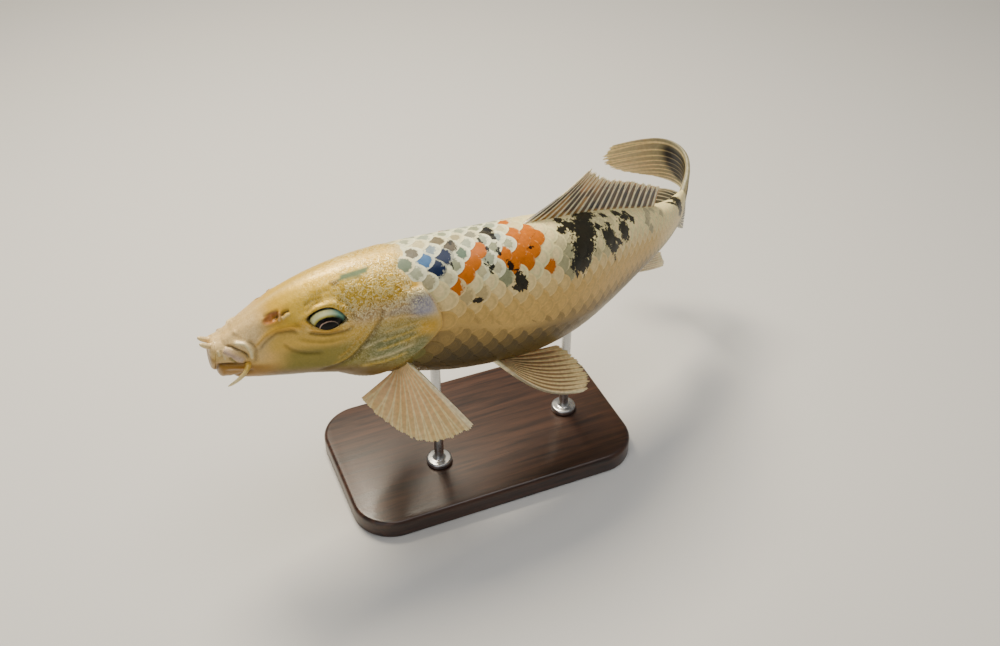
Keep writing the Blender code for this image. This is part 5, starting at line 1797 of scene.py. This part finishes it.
@dataclass(frozen=True)
class BrushedSteel(Finish):
    """Stainless steel, brushed round the rod: fine rings that soften the shine."""

    name: str = "brushed_stainless_steel"
    grit: float = 3000.0  # brush lines about 0.3 mm apart along the rod

    def dress(self, node: Adder, shader: Node) -> None:
        """Vary the roughness and height in fine rings."""
        place = node("TexCoord", out="Object")
        drawn = node("Mapping", {"Vector": place, "Scale": (0.05, 0.05, 1.0)})
        rings = node("TexNoise", {"Vector": drawn, "Scale": self.grit, "Detail": 2.0})
        gloss = node("MapRange", {"Value": rings, "To Min": 0.20, "To Max": 0.38})
        bump = node("Bump", {"Strength": 0.12, "Distance": 0.0001, "Height": rings})
        self.give(shader, Roughness=gloss, Normal=bump, Base_Color=rgba("#C9C9C7"), Metallic=1.0)


# ---------------------------------------------------------------- stage
@dataclass(frozen=True)
class Studio:
    """A pale floor, soft light and the camera."""

    camera_place: Triple = (-0.2248, -0.5799, 0.6175)
    camera_turn: float = -22.84  # degrees from +Y
    camera_tilt: float = 38.63  # degrees that it looks down
    lens: float = 40.40
    # Name, place, size in metres, power in watts and colour of each soft light.
    lights: tuple[tuple[str, Triple, float, float, str], ...] = (
        ("key", (-0.10, 0.55, 1.15), 0.45, 24.0, "#FFF3DC"),
        ("top", (0.10, -0.10, 1.40), 0.8, 8.0, "#FFFFFF"),
        ("fill", (-0.9, -0.9, 0.6), 0.9, 2.5, "#F4F7FF"),
    )
    aim: Triple = (0.0, 0.0, 0.15)  # where the lights point
    floor_size: float = 6.0
    floor_code: str = "#D9D7D2"
    sky_code: str = "#E9EDF2"
    sky_strength: float = 0.20

    def floor(self) -> Object:
        """A wide, plain, pale floor."""
        half = self.floor_size / 2
        corners = [(-half, -half, 0), (half, -half, 0), (half, half, 0), (-half, half, 0)]
        floor = add_mesh("studio_floor", corners, [[0, 1, 2, 3]], smooth=False)
        material = bpy.data.materials.new("pale_floor")
        material.use_nodes = True
        shader = material.node_tree.nodes["Principled BSDF"]
        Finish.give(shader, Base_Color=rgba(self.floor_code), Roughness=0.8)
        floor.data.materials.append(material)
        return floor

    def build(self) -> None:
        """Set the floor, the world, the lights and the camera."""
        self.floor()
        scene = bpy.context.scene
        world = bpy.data.worlds.new("studio_world")
        world.use_nodes = True
        sky = world.node_tree.nodes["Background"]
        Finish.give(sky, Color=rgba(self.sky_code), Strength=self.sky_strength)
        scene.world = world
        for name, place, size, power, code in self.lights:
            lamp = bpy.data.lights.new("studio_" + name, "AREA")
            lamp.energy, lamp.size, lamp.color = power, size, rgba(code)[:3]
            way = unit(np.array(self.aim) - np.array(place))
            turn = (math.acos(-way[2]), 0.0, math.atan2(way[1], way[0]) - math.pi / 2)
            self.stand(lamp, place, turn)
        view = bpy.data.cameras.new("studio_camera")
        view.lens, view.sensor_width, view.clip_start = self.lens, 36.0, 0.01
        scene.camera = self.stand(view, self.camera_place, (math.radians(90 - self.camera_tilt), 0.0,
                                                            math.radians(self.camera_turn)))

    @staticmethod
    def stand(thing: bpy.types.ID, place: Sequence[float], turn: Sequence[float]) -> Object:
        """Set a lamp or camera in its place, turned by three angles."""
        held = add_object(thing.name, thing)
        held.location, held.rotation_euler = place, turn
        return held


# ---------------------------------------------------------------- the whole model
FLESH = ("head", "upper_jaw", "lower_jaw", "gill_cover_left", "gill_cover_right", "trunk_front", "trunk_rear",
         "tail_peduncle")
BARBELS = ("barbel_front_left", "barbel_front_right", "barbel_rear_left", "barbel_rear_right")


def keep(piece: Object, slot: str, *nodes: str) -> None:
    """Let a piece ride with the model, hide the parts that it stands for, and log its size and slot."""
    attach(piece, ROOT_BODY)
    if nodes:
        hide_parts(*nodes)
    triangles = sum(len(p.vertices) - 2 for p in piece.data.polygons)
    log.info("%s: %d triangles, slot %s", piece.name, triangles, slot)


def main() -> None:
    """Build every piece in order."""
    logging.basicConfig(level=logging.INFO, format="%(name)s: %(message)s")
    skin_finish, horn, web = WetSkin().build(), ScaleHorn().build(), FinWeb().build()
    skin = Skin().build()
    skin.data.materials.append(skin_finish)
    keep(skin, "skin", *FLESH)
    for coat in ScaleCoat().build(horn):
        keep(coat, "skin")
    eye_gloss = EyeGloss().build()
    for name, side in (("left", 1.0), ("right", -1.0)):
        keep(Eyes().build(side, eye_gloss), "eye", "eye_" + name)
    keep(Feelers().build(skin_finish), "lips", *BARBELS)
    for fin in MedianFins().fins() + PairedFins().fins():
        keep(fin.build(web), "fin", fin.node)
    stand, steel = Stand(), BrushedSteel().build()
    keep(stand.base(StainedWood().build()), "stand_wood", "stand_base")
    for name, station in stand.rods:
        keep(stand.rod(name, station, steel), "stand_steel", "stand_rod_" + name)
    Studio().build()


if __name__ == "__main__":
    main()
